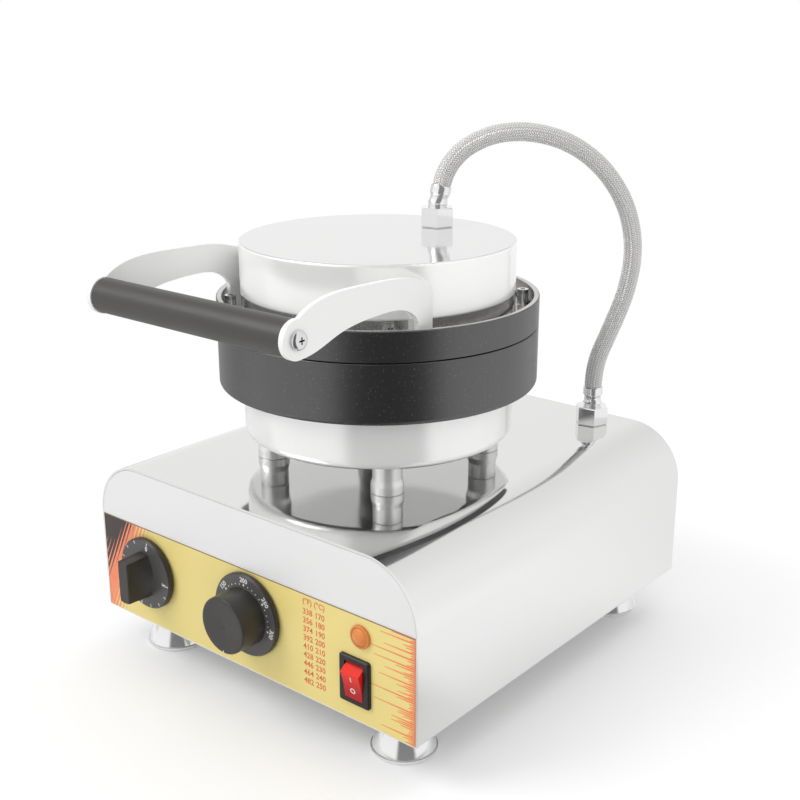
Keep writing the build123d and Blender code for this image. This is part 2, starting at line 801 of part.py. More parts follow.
def heater_ring(ring_radius, ring_z, leg_down):
    """Tubular element: an open ring about the head's axis with both ends bent along Z."""
    half_gap = radians((360 - heater_arc) / 2)
    start = Plane(
        origin=(ring_radius * sin(half_gap), head_y + ring_radius * cos(half_gap), ring_z),
        x_dir=(sin(half_gap), cos(half_gap), 0),
        z_dir=(-cos(half_gap), sin(half_gap), 0),
    )
    finish = Plane(
        origin=(-ring_radius * sin(half_gap), head_y + ring_radius * cos(half_gap), ring_z),
        x_dir=(-sin(half_gap), cos(half_gap), 0),
        z_dir=(cos(half_gap), sin(half_gap), 0),
    )
    way = -1 if leg_down else 1
    with BuildPart() as ring:
        with BuildSketch(start):
            Circle(heater_tube_radius)
        revolve(axis=head_axis, revolution_arc=-heater_arc)
        for end in (start, finish):
            outward = end.z_dir * heater_bend
            along_leg = Vector(0, 0, way * heater_bend)
            leg_plane = Plane(origin=end.origin + along_leg + outward, x_dir=end.x_dir, z_dir=(0, 0, way))
            with BuildLine() as elbow:
                ThreePointArc(
                    end.origin,
                    end.origin + along_leg + (outward - along_leg) * sqrt(0.5),
                    leg_plane.origin,
                )
            with BuildSketch(end):
                Circle(heater_tube_radius)
            sweep(path=elbow.line)
            with BuildSketch(leg_plane):
                Circle(heater_tube_radius)
            extrude(amount=heater_leg)
    return ring.part


# Lower heating element: against the bulge of the bowl, its ends turned down
slant_factor = hypot(bowl_mouth_radius - bowl_floor_radius, bowl_depth) / bowl_depth
lower_ring_radius = (
    cone_radius(heater_drop, -mould_wall) + (heater_tube_radius + heater_seat_gap) * slant_factor
)
lower_heater = heater_ring(lower_ring_radius, split_z - heater_drop, True)
save(lower_heater, "lower_heater")

# Clamp dish under the lower element, and its screw
ring_gap_half = radians((360 - heater_arc) / 2)
dish_inner = split_z - bulge_depth - clamp_gap
dish_radius = lower_ring_radius + heater_tube_radius
ring_bottom = split_z - heater_drop - heater_tube_radius - clamp_gap
with BuildPart() as lower_clamp:
    with BuildSketch(facing_front(0, head_y, 0)):
        with BuildLine():
            Polyline(
                (clamp_screw_radius + hole_clearance, dish_inner),
                (dish_radius - 16, dish_inner), (dish_radius - 9, ring_bottom), (dish_radius, ring_bottom),
                (dish_radius, ring_bottom - clamp_sheet), (dish_radius - 8.4, ring_bottom - clamp_sheet),
                (dish_radius - 15.4, dish_inner - clamp_sheet),
                (clamp_screw_radius + hole_clearance, dish_inner - clamp_sheet),
                close=True,
            )
        make_face()
    revolve(axis=head_axis)
    # Window where the element's ends go down
    with Locations((0, head_y + dish_radius, ring_bottom)):
        window_half = lower_ring_radius * sin(ring_gap_half) + heater_tube_radius + 1
        Box(2 * window_half, 28.0, 8.0, mode=Mode.SUBTRACT)
save(lower_clamp.part, "lower_heater_clamp")

with BuildPart() as lower_clamp_screw:
    with BuildSketch(level(dish_inner - clamp_sheet, y=head_y)):
        RegularPolygon(bolt_flats / 2, 6, major_radius=False)
    extrude(amount=-bolt_head_height)
    with BuildSketch(level(dish_inner - clamp_sheet, y=head_y)):
        Circle(clamp_screw_radius)
    extrude(amount=clamp_sheet + clamp_gap + clamp_screw_depth - 0.5)
save(lower_clamp_screw.part, "lower_clamp_screw")

# Upper heating element: inside the plug's hollow, its ends turned up
upper_ring_radius = (
    cone_radius(heater_rise_below_split, waffle_gap + mould_wall)
    - (heater_tube_radius + heater_seat_gap) * slant_factor
)
upper_heater = heater_ring(upper_ring_radius, split_z - heater_rise_below_split, False)
save(upper_heater, "upper_heater")

# Clamp dish over the upper element, on a stud with a nut
upper_ring_top = split_z - heater_rise_below_split + heater_tube_radius + clamp_gap
upper_dish_radius = upper_ring_radius + heater_tube_radius - 1.0
dish_floor_z = split_z - plug_inside_depth + 12.0
with BuildPart() as upper_clamp:
    with BuildSketch(facing_front(0, head_y, 0)):
        with BuildLine():
            Polyline(
                (clamp_screw_radius + hole_clearance, dish_floor_z),
                (14.0, dish_floor_z), (upper_dish_radius - 8, upper_ring_top),
                (upper_dish_radius, upper_ring_top),
                (upper_dish_radius, upper_ring_top + clamp_sheet),
                (upper_dish_radius - 8.8, upper_ring_top + clamp_sheet),
                (13.2, dish_floor_z + clamp_sheet),
                (clamp_screw_radius + hole_clearance, dish_floor_z + clamp_sheet),
                close=True,
            )
        make_face()
    revolve(axis=head_axis)
    # Window where the element's ends come up
    with Locations((0, head_y + upper_dish_radius, upper_ring_top)):
        window_half = upper_ring_radius * sin(ring_gap_half) + heater_tube_radius + 1
        Box(2 * window_half, 28.0, 8.0, mode=Mode.SUBTRACT)
save(upper_clamp.part, "upper_heater_clamp")

with BuildPart() as upper_clamp_stud:
    stud_foot = split_z - plug_inside_depth - clamp_screw_depth + 0.5
    stud_top = dish_floor_z + clamp_sheet + 9.0
    with BuildSketch(level(stud_foot, y=head_y)):
        Circle(clamp_screw_radius)
    extrude(amount=stud_top - stud_foot)
save(upper_clamp_stud.part, "upper_clamp_stud")

with BuildPart() as upper_clamp_nut:
    with BuildSketch(level(dish_floor_z + clamp_sheet, y=head_y)):
        RegularPolygon(bolt_flats / 2, 6, major_radius=False)
        Circle(clamp_screw_radius + tapped_clearance, mode=Mode.SUBTRACT)
    extrude(amount=5.0)
save(upper_clamp_nut.part, "upper_clamp_nut")

# Handle arms: curved plates with a tongue in the trough and an eye at the front
arm_rear = arm_root_rear
arm_front = arm_root_rear + arm_root_width
for side_name, inner_x in (("left", -arm_outer_x), ("right", arm_outer_x - arm_sheet)):
    with BuildPart() as handle_arm:
        with BuildSketch(facing_right(inner_x, head_y, trough_z)):
            with BuildLine():
                root = Polyline(
                    (-arm_front, 13.0), (-arm_front, -arm_slot_depth + 0.3),
                    (-arm_rear, -arm_slot_depth + 0.3), (-arm_rear, arm_shoulder_rise - 9.0),
                )
                shoulder = TangentArc(root @ 1, (-arm_rear - 8.5, arm_shoulder_rise), tangent=(0, 1))
                crown = Spline(
                    shoulder @ 1, (-arm_crown_reach, arm_crown_rise),
                    (-arm_eye_reach + 1.5, arm_eye_rise + arm_eye_radius - 0.1),
                    tangents=[(-1, 0.36), (-1, -0.75)],
                )
                nose = Line(crown @ 1, (-arm_eye_reach + 1.5, arm_eye_rise - arm_eye_radius + 0.1))
                underside = Spline(
                    nose @ 1, (-118.0, 21.6), (-arm_underside_reach, arm_underside_rise),
                    (-arm_front - 7.0, 22.0), root @ 0,
                    tangents=[(1, 0.05), (0, -1)],
                )
            make_face()
            with Locations((-arm_eye_reach, arm_eye_rise)):
                Circle(arm_eye_radius)
                Circle(handle_screw_radius + hole_clearance, mode=Mode.SUBTRACT)
        extrude(amount=arm_sheet)
    save(handle_arm.part, f"handle_arm_{side_name}")

# Grip, rod and screws between the two eyes
grip_y = head_y - arm_eye_reach
grip_z = trough_z + arm_eye_rise
grip_half = arm_outer_x - arm_sheet
with BuildPart() as handle_grip:
    with BuildSketch(facing_right(-grip_half, grip_y, grip_z)):
        Circle(grip_radius)
        Circle(grip_bore_radius, mode=Mode.SUBTRACT)
    extrude(amount=2 * grip_half)
    end_faces = handle_grip.faces().filter_by(Axis.X)
    chamfer(end_faces.edges().filter_by(lambda edge: edge.radius > grip_bore_radius + 1), 0.6)
save(handle_grip.part, "handle_grip")

with BuildPart() as handle_rod:
    with BuildSketch(facing_right(-grip_half, grip_y, grip_z)):
        Circle(rod_radius)
        Circle(handle_screw_radius + tapped_clearance, mode=Mode.SUBTRACT)
    extrude(amount=handle_screw_depth + 1)
    with BuildSketch(facing_right(-grip_half, grip_y, grip_z).offset(handle_screw_depth + 1)):
        Circle(rod_radius)
    extrude(amount=2 * (grip_half - handle_screw_depth - 1))
    with BuildSketch(facing_right(grip_half, grip_y, grip_z)):
        Circle(rod_radius)
        Circle(handle_screw_radius + tapped_clearance, mode=Mode.SUBTRACT)
    extrude(amount=-(handle_screw_depth + 1))
save(handle_rod.part, "handle_rod")

# Handle screws: domed heads against the eyes
with BuildPart() as handle_screws:
    for side in (-1, 1):
        screw_at = (side * arm_outer_x, grip_y, grip_z)
        screw_plane = Plane(origin=screw_at, x_dir=(0, 1, 0), z_dir=(side, 0, 0))
        with BuildSketch(screw_plane):
            Circle(handle_screw_head_radius)
        extrude(amount=handle_screw_head_height)
        head_end = handle_screws.faces().filter_by(Axis.X).sort_by(Axis.X)[-1 if side > 0 else 0]
        fillet(head_end.edges(), handle_screw_head_height - 0.5)
        with BuildSketch(screw_plane):
            Circle(handle_screw_radius)
        extrude(amount=-(arm_sheet + handle_screw_depth))
save(handle_screws.part, "handle_screws")

# Conduit fittings: a nut on the outside, a threaded nipple with its locknut inside, and a ferrule
lower_x = lower_fitting_x
lower_y = housing_y + lower_fitting_y
run_x = lower_x - upper_fitting_x
run_y = lower_y - fitting_y
run_length = hypot(run_x, run_y)
run_dir = Vector(run_x / run_length, run_y / run_length, 0)
fittings = (
    ("upper", upper_fitting_x, fitting_y, upper_top_z, cover_sheet, ferrule_lean),
    ("lower", lower_x, lower_y, deck_z, sheet, 0.0),
)
for name, fitting_x, fitting_at_y, face_z, wall, lean in fittings:
    with BuildPart() as hose_nut:
        with BuildSketch(level(face_z, fitting_x, fitting_at_y)):
            RegularPolygon(nut_flats / 2, 6, major_radius=False, rotation=nut_turn)
        extrude(amount=nut_height)
        chamfer(hose_nut.faces().filter_by(Axis.Z).edges(), nut_chamfer)
        with BuildSketch(level(face_z, fitting_x, fitting_at_y)):
            Circle(nipple_radius)
        extrude(amount=-nipple_depth)
    save(hose_nut.part, f"{name}_hose_nut")

    with BuildPart() as locknut:
        with BuildSketch(level(face_z - wall, fitting_x, fitting_at_y)):
            RegularPolygon(nut_flats / 2 - 1, 6, major_radius=False)
            Circle(nipple_radius + tapped_clearance, mode=Mode.SUBTRACT)
        extrude(amount=-locknut_height)
    save(locknut.part, f"{name}_hose_locknut")

    lean_axis = run_dir * sin(radians(lean)) + Vector(0, 0, cos(radians(lean)))
    ferrule_foot = Vector(fitting_x, fitting_at_y, face_z + nut_height)
    side_dir = Vector(-run_dir.Y, run_dir.X, 0)
    with BuildPart() as ferrule:
        with BuildSketch(Plane(origin=ferrule_foot, x_dir=side_dir, z_dir=side_dir.cross(lean_axis))):
            with BuildLine():
                edge = Polyline(
                    (0, 1.6), (0, ferrule_height), (ferrule_radius - 0.3, ferrule_height),
                    (ferrule_radius, ferrule_height - 0.6), (ferrule_radius, ferrule_height * 0.62),
                )
                waist = ThreePointArc(
                    edge @ 1, (ferrule_waist_radius, ferrule_height * 0.36), (ferrule_radius, 2.4)
                )
                Polyline(waist @ 1, (ferrule_radius - 0.6, 1.6), (0, 1.6))
            make_face()
        revolve(axis=Axis(ferrule_foot, lean_axis))
        with BuildSketch(level(face_z + nut_height, fitting_x, fitting_at_y)):
            Circle(ferrule_waist_radius)
        extrude(amount=3.0)
    save(ferrule.part, f"{name}_hose_ferrule")

# Braided conduit: its route, as run along the line between the two fittings and height
leaning = run_dir * sin(radians(ferrule_lean)) + Vector(0, 0, cos(radians(ferrule_lean)))
upper_end = Vector(upper_fitting_x, fitting_y, upper_top_z + nut_height) + leaning * ferrule_height
lower_end_z = deck_z + nut_height + ferrule_height
hose_run_and_height = [
    (10.5, 308.4),
    (21.0, 317.0),
    (38.5, 323.6),
    (62.0, 323.8),
    (87.5, 316.0),
    (110.0, 299.0),
    (126.0, 275.0),
    (132.5, 247.0),
    (129.0, 219.0),
    (118.5, 192.0),
    (run_length, lower_end_z + 15.0),
]
hose_points = [upper_end, upper_end + leaning * 6.0]
for run, height in hose_run_and_height:
    hose_points.append(Vector(upper_fitting_x + run_dir.X * run, fitting_y + run_dir.Y * run, height))
hose_points.append(Vector(lower_x, lower_y, lower_end_z))

hose_radii = []
for before, corner, after in zip(hose_points, hose_points[1:], hose_points[2:]):
    turn = (corner - before).get_angle(after - corner)
    shorter = min((corner - before).length, (after - corner).length)
    hose_radii.append(0.45 * shorter / tan(radians(turn / 2)))
print("conduit radii", [round(value, 1) for value in hose_radii])
print("conduit points", [tuple(round(value, 1) for value in point) for point in hose_points])

with BuildPart() as braided_hose:
    with BuildLine() as hose_path:
        FilletPolyline(*hose_points, radius=hose_radii)
    with BuildSketch(Plane(origin=hose_points[0], z_dir=hose_points[1] - hose_points[0])):
        Circle(hose_radius)
    sweep(path=hose_path.wire())
save(braided_hose.part, "braided_hose")
section = pi * hose_radius ** 2
print("conduit length", round(hose_path.wire().length, 1))
print("conduit volume share", round(braided_hose.part.volume / (section * hose_path.wire().length), 4))

# Control label: a thin printed sheet on the front
label_plane = facing_front(0, front_y, base_z)
with BuildPart() as control_label:
    with BuildSketch(label_plane):
        with Locations((0, label_margin + (label_height - label_margin) / 2)):
            Rectangle(housing_width - 2 * label_margin - 2, label_height - label_margin)
        with Locations((timer_x, timer_rise), (thermostat_x, thermostat_rise)):
            Circle(bush_radius + bush_clearance, mode=Mode.SUBTRACT)
        with Locations((lamp_x, lamp_rise)):
            Circle(lamp_body_radius + hole_clearance, mode=Mode.SUBTRACT)
        with Locations((switch_x, switch_rise)):
            Rectangle(switch_width - 2.4, switch_height - 2.4, mode=Mode.SUBTRACT)
    extrude(amount=label_sheet)
save(control_label.part, "control_label")

# Timer and thermostat bodies behind the front, each with a threaded bush for its shaft
plate_rear_y = front_y + sheet
shaft_length_inside = 12.0
movements = (
    ("timer_body", timer_x, timer_z, timer_body_size, timer_body_size, timer_body_depth, 6.0),
    (
        "thermostat_body", thermostat_x, thermostat_z,
        thermostat_body_width, thermostat_body_height, thermostat_body_depth, 3.0,
    ),
)
for name, body_x, body_z, body_width, body_height, body_depth, corner in movements:
    with BuildPart() as movement:
        with BuildSketch(facing_front(body_x, plate_rear_y + body_depth, body_z)):
            RectangleRounded(body_width, body_height, corner)
        extrude(amount=body_depth)
        with BuildSketch(facing_front(body_x, plate_rear_y + body_depth, body_z)):
            with GridLocations(body_width * 0.5, body_height * 0.5, 2, 2):
                Rectangle(4.0, 0.8)
        extrude(amount=-7.0)
        with BuildSketch(facing_front(body_x, plate_rear_y, body_z)):
            Circle(bush_radius)
        extrude(amount=sheet + label_sheet + bush_reach)
        with BuildSketch(facing_front(body_x, plate_rear_y + shaft_length_inside, body_z)):
            Circle(shaft_radius + shaft_clearance)
        extrude(amount=shaft_length_inside + sheet + label_sheet + bush_reach, mode=Mode.SUBTRACT)
    save(movement.part, name)

with BuildPart() as shaft_nuts:
    with BuildSketch(facing_front(0, panel_y, 0)):
        with Locations((timer_x, timer_z), (thermostat_x, thermostat_z)):
            RegularPolygon(bush_nut_flats / 2, 6, major_radius=False)
            Circle(bush_radius + tapped_clearance, mode=Mode.SUBTRACT)
    extrude(amount=bush_nut_height)
save(shaft_nuts.part, "shaft_nuts")

# Shafts with a flat, which turn with their knobs
shaft_reach = sheet + label_sheet + 15.0
shaft_places = (("timer_shaft", timer_x, timer_z), ("thermostat_shaft", thermostat_x, thermostat_z))
for name, shaft_x, shaft_z in shaft_places:
    with BuildPart() as shaft:
        with BuildSketch(facing_front(shaft_x, plate_rear_y + shaft_length_inside - 0.3, shaft_z)):
            Circle(shaft_radius)
        extrude(amount=shaft_length_inside - 0.3 + shaft_reach)
        with Locations((shaft_x, plate_rear_y - shaft_reach + 5.0, shaft_z + shaft_radius)):
            Box(2 * shaft_radius, 10.0, 2.0, mode=Mode.SUBTRACT)
    save(shaft.part, name)

knob_y = panel_y - knob_gap


def knob_socket(reach, depth):
    """Hollow under a knob: clear of the nut and the bush, with a hub left around the shaft."""
    with BuildPart() as hollow:
        with BuildSketch():
            Circle(reach)
            Circle(knob_hub_radius, mode=Mode.SUBTRACT)
        extrude(amount=depth)
        with BuildSketch():
            Circle(bush_nut_flats / 2 + 2.0)
        extrude(amount=bush_nut_height - knob_gap + 0.8)
        with BuildSketch():
            Circle(bush_radius + 0.5)
        extrude(amount=bush_reach - knob_gap + 0.6)
        with BuildSketch():
            Circle(shaft_radius + shaft_clearance)
        extrude(amount=15.0)
    return hollow.part


# Timer knob: a bevelled dial with a bar grip that swells into a round foot
timer_socket = knob_socket(bush_nut_flats / 2 + 2.0, 1.6)
grip_sections = (
    (timer_skirt_height - 0.3, timer_grip_bulge, timer_grip_reach + 0.9),
    (timer_grip_height * 0.45, timer_bar_width / 2 + 1.5, timer_grip_reach + 0.4),
    (timer_grip_height, timer_bar_width / 2 + 0.3, timer_grip_reach),
)
with BuildPart() as timer_knob:
    for height, bulge, reach in grip_sections:
        with BuildSketch(facing_front(timer_x, knob_y - height, timer_z)):
            half_bar = timer_bar_width / 2
            with BuildLine():
                right_flank = ThreePointArc((half_bar, -reach), (bulge, 0), (half_bar, reach))
                top_end = ThreePointArc(right_flank @ 1, (0, reach + 0.8), (-half_bar, reach))
                left_flank = ThreePointArc(top_end @ 1, (-bulge, 0), (-half_bar, -reach))
                ThreePointArc(left_flank @ 1, (0, -reach - 0.8), right_flank @ 0)
            make_face()
    loft()
    fillet(timer_knob.faces().sort_by(Axis.Y)[0].edges(), 0.7)
    with BuildSketch(Plane(origin=(timer_x, knob_y, timer_z), x_dir=(1, 0, 0), z_dir=(0, 0, 1))):
        Polygon(
            (0, 0), (timer_skirt_radius, 0), (timer_skirt_radius, -timer_skirt_height + 1.0),
            (timer_skirt_radius - 0.8, -timer_skirt_height), (0, -timer_skirt_height),
            align=None,
        )
    revolve(axis=Axis((timer_x, knob_y, timer_z), (0, 1, 0)))
    with Locations(Plane(origin=(timer_x, knob_y, timer_z), x_dir=(1, 0, 0), z_dir=(0, -1, 0))):
        add(timer_socket, mode=Mode.SUBTRACT)
save(timer_knob.part, "timer_knob")

# Thermostat knob: a bevelled dial with a round tapered grip and a slightly hollow face
thermostat_socket = knob_socket(thermostat_grip_radius - knob_wall - 2, 12.0)
with BuildPart() as thermostat_knob:
    with BuildSketch(Plane(origin=(thermostat_x, knob_y, thermostat_z), x_dir=(1, 0, 0), z_dir=(0, 0, 1))):
        with BuildLine():
            FilletPolyline(
                (0, 0), (thermostat_skirt_radius, 0),
                (thermostat_skirt_radius, -thermostat_skirt_height + 1.0),
                (thermostat_skirt_radius - 0.8, -thermostat_skirt_height),
                (thermostat_grip_radius, -thermostat_skirt_height),
                (thermostat_face_radius, -thermostat_grip_height),
                (thermostat_face_radius - 3.0, -thermostat_grip_height),
                (0, -thermostat_grip_height + 0.8),
                radius=[0, 0, 0, 0, 0.4, 1.2, 2.0, 0],
                close=True,
            )
        make_face()
    revolve(axis=Axis((thermostat_x, knob_y, thermostat_z), (0, 1, 0)))
    with Locations(Plane(origin=(thermostat_x, knob_y, thermostat_z), x_dir=(1, 0, 0), z_dir=(0, -1, 0))):
        add(thermostat_socket, mode=Mode.SUBTRACT)
save(thermostat_knob.part, "thermostat_knob")

# Indicator lamp: a bezel with its body behind the front, and a domed lens
with BuildPart() as lamp_bezel:
    with BuildSketch(facing_front(lamp_x, panel_y, lamp_z)):
        Circle(lamp_bezel_radius)
    extrude(amount=lamp_bezel_height)
    fillet(lamp_bezel.faces().sort_by(Axis.Y)[0].edges(), 0.7)
    with BuildSketch(facing_front(lamp_x, panel_y, lamp_z)):
        Circle(lamp_body_radius)
    extrude(amount=-(label_sheet + sheet + lamp_body_depth))
    with BuildSketch(facing_front(lamp_x, panel_y - lamp_bezel_height, lamp_z)):
        Circle(lamp_lens_radius + plate_clearance)
    extrude(amount=-4.0, mode=Mode.SUBTRACT)
save(lamp_bezel.part, "lamp_bezel")

with BuildPart() as lamp_lens:
    lens_front = lamp_bezel_height + lamp_lens_rise
    dome_radius = (lamp_lens_radius ** 2 + lamp_lens_rise ** 2) / (2 * lamp_lens_rise)
    half_way = asin(lamp_lens_radius / dome_radius) / 2
    with BuildSketch(Plane(origin=(lamp_x, panel_y, lamp_z), x_dir=(1, 0, 0), z_dir=(0, 0, 1))):
        with BuildLine():
            foot_line = Polyline(
                (0, 2.0), (lamp_lens_radius, 2.0), (lamp_lens_radius, -lamp_bezel_height),
            )
            dome = ThreePointArc(
                foot_line @ 1,
                (dome_radius * sin(half_way), -lens_front + dome_radius * (1 - cos(half_way))),
                (0, -lens_front),
            )
            Line(dome @ 1, foot_line @ 0)
        make_face()
    revolve(axis=Axis((lamp_x, panel_y, lamp_z), (0, 1, 0)))
save(lamp_lens.part, "lamp_lens")

# Rocker switch: a frame with a window, and the rocker on two short trunnions
pivot_y = panel_y
rocker_half = switch_window_height / 2 - rocker_clearance
with BuildPart() as switch_frame:
    with BuildSketch(facing_front(switch_x, panel_y, switch_z)):
        RectangleRounded(switch_width, switch_height, 1.6)
    extrude(amount=switch_bezel)
    chamfer(switch_frame.faces().sort_by(Axis.Y)[0].edges(), 0.7)
    with BuildSketch(facing_front(switch_x, panel_y, switch_z)):
        Rectangle(switch_width - 2.8, switch_height - 2.8)
    extrude(amount=-(label_sheet + sheet + switch_body_depth))
    with BuildSketch(facing_front(switch_x, panel_y - switch_bezel, switch_z)):
        Rectangle(switch_window_width, switch_window_height)
    extrude(amount=-(switch_bezel + label_sheet + sheet + switch_body_depth - 4.0), mode=Mode.SUBTRACT)
    with BuildSketch(facing_front(switch_x, panel_y + label_sheet + sheet + switch_body_depth, switch_z)):
        with GridLocations(9.0, 8.0, 2, 3):
            Rectangle(0.8, 4.8)
    extrude(amount=-7.0)
    with BuildSketch(facing_right(switch_x - switch_width / 2 + 2.2, pivot_y, switch_z)):
        Circle(rocker_pin_radius + shaft_clearance)
    extrude(amount=switch_width - 4.4, mode=Mode.SUBTRACT)
save(switch_frame.part, "switch_frame")

# Rocker: a ridge near its upper end, a sloping top above it and a hollow face below
with BuildPart() as switch_rocker:
    rocker_left = switch_x - switch_window_width / 2 + rocker_clearance
    with BuildSketch(facing_right(rocker_left, pivot_y, switch_z)):
        with BuildLine():
            low = (-rocker_low_proud, -rocker_half)
            high = (-rocker_proud, rocker_half - rocker_ridge_drop)
            face_arc = ThreePointArc(high, ((low[0] + high[0]) / 2 + 0.7, (low[1] + high[1]) / 2), low)
            Polyline(
                face_arc @ 1, (2.0, -rocker_half + 1.6), (6.0, -3.0), (6.0, 3.0), (0.5, rocker_half - 0.4),
                face_arc @ 0,
            )
        make_face()
    extrude(amount=switch_window_width - 2 * rocker_clearance)
    with BuildSketch(facing_right(switch_x - switch_width / 2 + 2.6, pivot_y, switch_z)):
        Circle(rocker_pin_radius)
    extrude(amount=switch_width - 5.2)
save(switch_rocker.part, "switch_rocker")

# Mains gland in the rear plate: body outside, nut inside
with BuildPart() as cable_gland:
    gland_z = base_z + gland_rise
    with BuildSketch(facing_rear(gland_x, back_y, gland_z)):
        RegularPolygon(gland_nut_flats / 2, 6, major_radius=False)
    extrude(amount=gland_nut_height)
    with BuildSketch(facing_rear(gland_x, back_y + gland_nut_height, gland_z)):
        Circle(gland_radius)
    extrude(amount=gland_length - gland_nut_height)
    fillet(cable_gland.faces().sort_by(Axis.Y)[-1].edges(), 3.0)
    with BuildSketch(facing_rear(gland_x, back_y, gland_z)):
        Circle(gland_thread_radius)
    extrude(amount=-(sheet + gland_nut_height + 3.0))
    with BuildSketch(facing_rear(gland_x, back_y + gland_length, gland_z)):
        Circle(gland_bore_radius)
    extrude(amount=-(gland_length + sheet + gland_nut_height + 3.0), mode=Mode.SUBTRACT)
save(cable_gland.part, "cable_gland")

with BuildPart() as gland_nut:
    with BuildSketch(facing_rear(gland_x, back_y - sheet, gland_z)):
        RegularPolygon(gland_nut_flats / 2, 6, major_radius=False)
        Circle(gland_thread_radius + tapped_clearance, mode=Mode.SUBTRACT)
    extrude(amount=-gland_nut_height)
save(gland_nut.part, "gland_nut")

# Terminal block on the bottom plate, behind the gland
with BuildPart() as terminal_block:
    block_y = back_y - block_inset
    with BuildSketch(level(base_z, gland_x, block_y)):
        Rectangle(block_length, block_depth)
    extrude(amount=block_height)
    chamfer(terminal_block.faces().sort_by(Axis.Z)[-1].edges().filter_by(Axis.X), 3.0)
    with BuildSketch(level(base_z + block_height, gland_x, block_y)):
        with GridLocations(block_length / block_pole_count, block_depth * 0.4, block_pole_count, 2):
            Circle(2.2)
    extrude(amount=-6.0, mode=Mode.SUBTRACT)
save(terminal_block.part, "terminal_block")

# Thermostat bulb in the lower mould's pocket, its capillary down the open post to the thermostat
bulb_y = head_y + bulb_circle_radius
bulb_z = split_z - pocket_roof - bulb_radius - heater_seat_gap
lead_x = -post_half
lead_y = head_y + post_half
capillary_exit_z = thermostat_z + capillary_exit_rise
capillary_points = [
    (thermostat_x, plate_rear_y + thermostat_body_depth, capillary_exit_z),
    (thermostat_x, plate_rear_y + thermostat_body_depth + capillary_lead, capillary_exit_z),
    (lead_x, lead_y - capillary_lead, deck_z - capillary_dip),
    (lead_x, lead_y, deck_z - capillary_turn),
    (lead_x, lead_y, bulb_z - capillary_bend),
    (lead_x + capillary_bend / 2, lead_y + capillary_bend, bulb_z),
    (-bulb_length / 2 - bulb_entry, bulb_y, bulb_z),
    (-bulb_length / 2, bulb_y, bulb_z),
]
with BuildPart() as capillary:
    with BuildLine() as capillary_path:
        FilletPolyline(*capillary_points, radius=[10, 16, 10, 8, 8, 8])
    with BuildSketch(Plane(origin=capillary_points[0], z_dir=(0, 1, 0))):
        Circle(capillary_radius)
    sweep(path=capillary_path.wire())
save(capillary.part, "thermostat_capillary")

with BuildPart() as bulb:
    with BuildSketch(facing_right(-bulb_length / 2, bulb_y, bulb_z)):
        Circle(bulb_radius)
    extrude(amount=bulb_length)
    fillet(bulb.faces().sort_by(Axis.X)[-1].edges(), 1.2)
save(bulb.part, "thermostat_bulb")

# Figures that the record repeats, in the same frame
print("housing", housing_y, "front", front_y, "back", back_y, "head", head_y)
print("levels", base_z, deck_z, cover_floor_z, lower_mould_z, split_z, trough_z, rim_z, upper_top_z)
print("hinge", hinge_y, split_z, "grip", grip_y, grip_z)
print("timer", timer_x, timer_z, "thermostat", thermostat_x, thermostat_z)
print("switch pivot", pivot_y, switch_z, "panel", panel_y)
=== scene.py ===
import bpy
from math import cos, pi, radians, sin
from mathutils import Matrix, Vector


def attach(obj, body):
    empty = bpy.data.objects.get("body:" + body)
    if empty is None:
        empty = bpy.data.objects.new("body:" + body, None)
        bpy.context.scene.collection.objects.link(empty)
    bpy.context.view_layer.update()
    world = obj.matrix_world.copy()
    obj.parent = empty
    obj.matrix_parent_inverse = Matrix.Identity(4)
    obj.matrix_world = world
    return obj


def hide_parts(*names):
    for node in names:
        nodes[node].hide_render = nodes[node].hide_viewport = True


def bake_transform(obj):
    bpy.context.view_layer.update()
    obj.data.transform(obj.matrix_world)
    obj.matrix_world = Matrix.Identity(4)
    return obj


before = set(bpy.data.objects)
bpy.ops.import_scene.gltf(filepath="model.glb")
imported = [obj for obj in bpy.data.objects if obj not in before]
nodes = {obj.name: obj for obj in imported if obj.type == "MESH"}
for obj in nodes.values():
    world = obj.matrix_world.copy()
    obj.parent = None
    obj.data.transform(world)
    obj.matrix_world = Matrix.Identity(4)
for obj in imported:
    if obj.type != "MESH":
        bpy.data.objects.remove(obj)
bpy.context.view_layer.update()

# Housing shell: one sheet of stainless steel folded over two large shoulders, its top polished
# to a mirror and its sides left a little softer. It closes on the front, rear and bottom plates.


def new_effect(name, sliders, results):
    """Make a node group with float inputs and outputs, and return it with its inner ends."""
    group = bpy.data.node_groups.new(name, "ShaderNodeTree")
    for slider, value in sliders.items():
        socket = group.interface.new_socket(slider, in_out="INPUT", socket_type="NodeSocketFloat")
        socket.default_value = value
    for result in results:
        group.interface.new_socket(result, in_out="OUTPUT", socket_type="NodeSocketFloat")
    group_input = group.nodes.new("NodeGroupInput")
    group_output = group.nodes.new("NodeGroupOutput")
    return group, group_input.outputs, group_output.inputs


def compute(tree, operation, *values, clamp=False):
    """Add a Math node fed by sockets or plain numbers, and return its output."""
    node = tree.nodes.new("ShaderNodeMath")
    node.operation = operation
    node.use_clamp = clamp
    for place, value in enumerate(values):
        if isinstance(value, (int, float)):
            node.inputs[place].default_value = value
        else:
            tree.links.new(value, node.inputs[place])
    return node.outputs[0]


def ramp(tree, value, start, end):
    """Rise smoothly from 0 to 1 as a value goes from start to end."""
    node = tree.nodes.new("ShaderNodeMapRange")
    node.interpolation_type = "SMOOTHSTEP"
    node.inputs["From Min"].default_value = start
    node.inputs["From Max"].default_value = end
    tree.links.new(value, node.inputs["Value"])
    return node.outputs["Result"]


def noise(tree, vector, scale, detail=2.0):
    """Add a Noise Texture, and return its value."""
    node = tree.nodes.new("ShaderNodeTexNoise")
    node.inputs["Scale"].default_value = scale
    node.inputs["Detail"].default_value = detail
    tree.links.new(vector, node.inputs["Vector"])
    return node.outputs["Fac"]


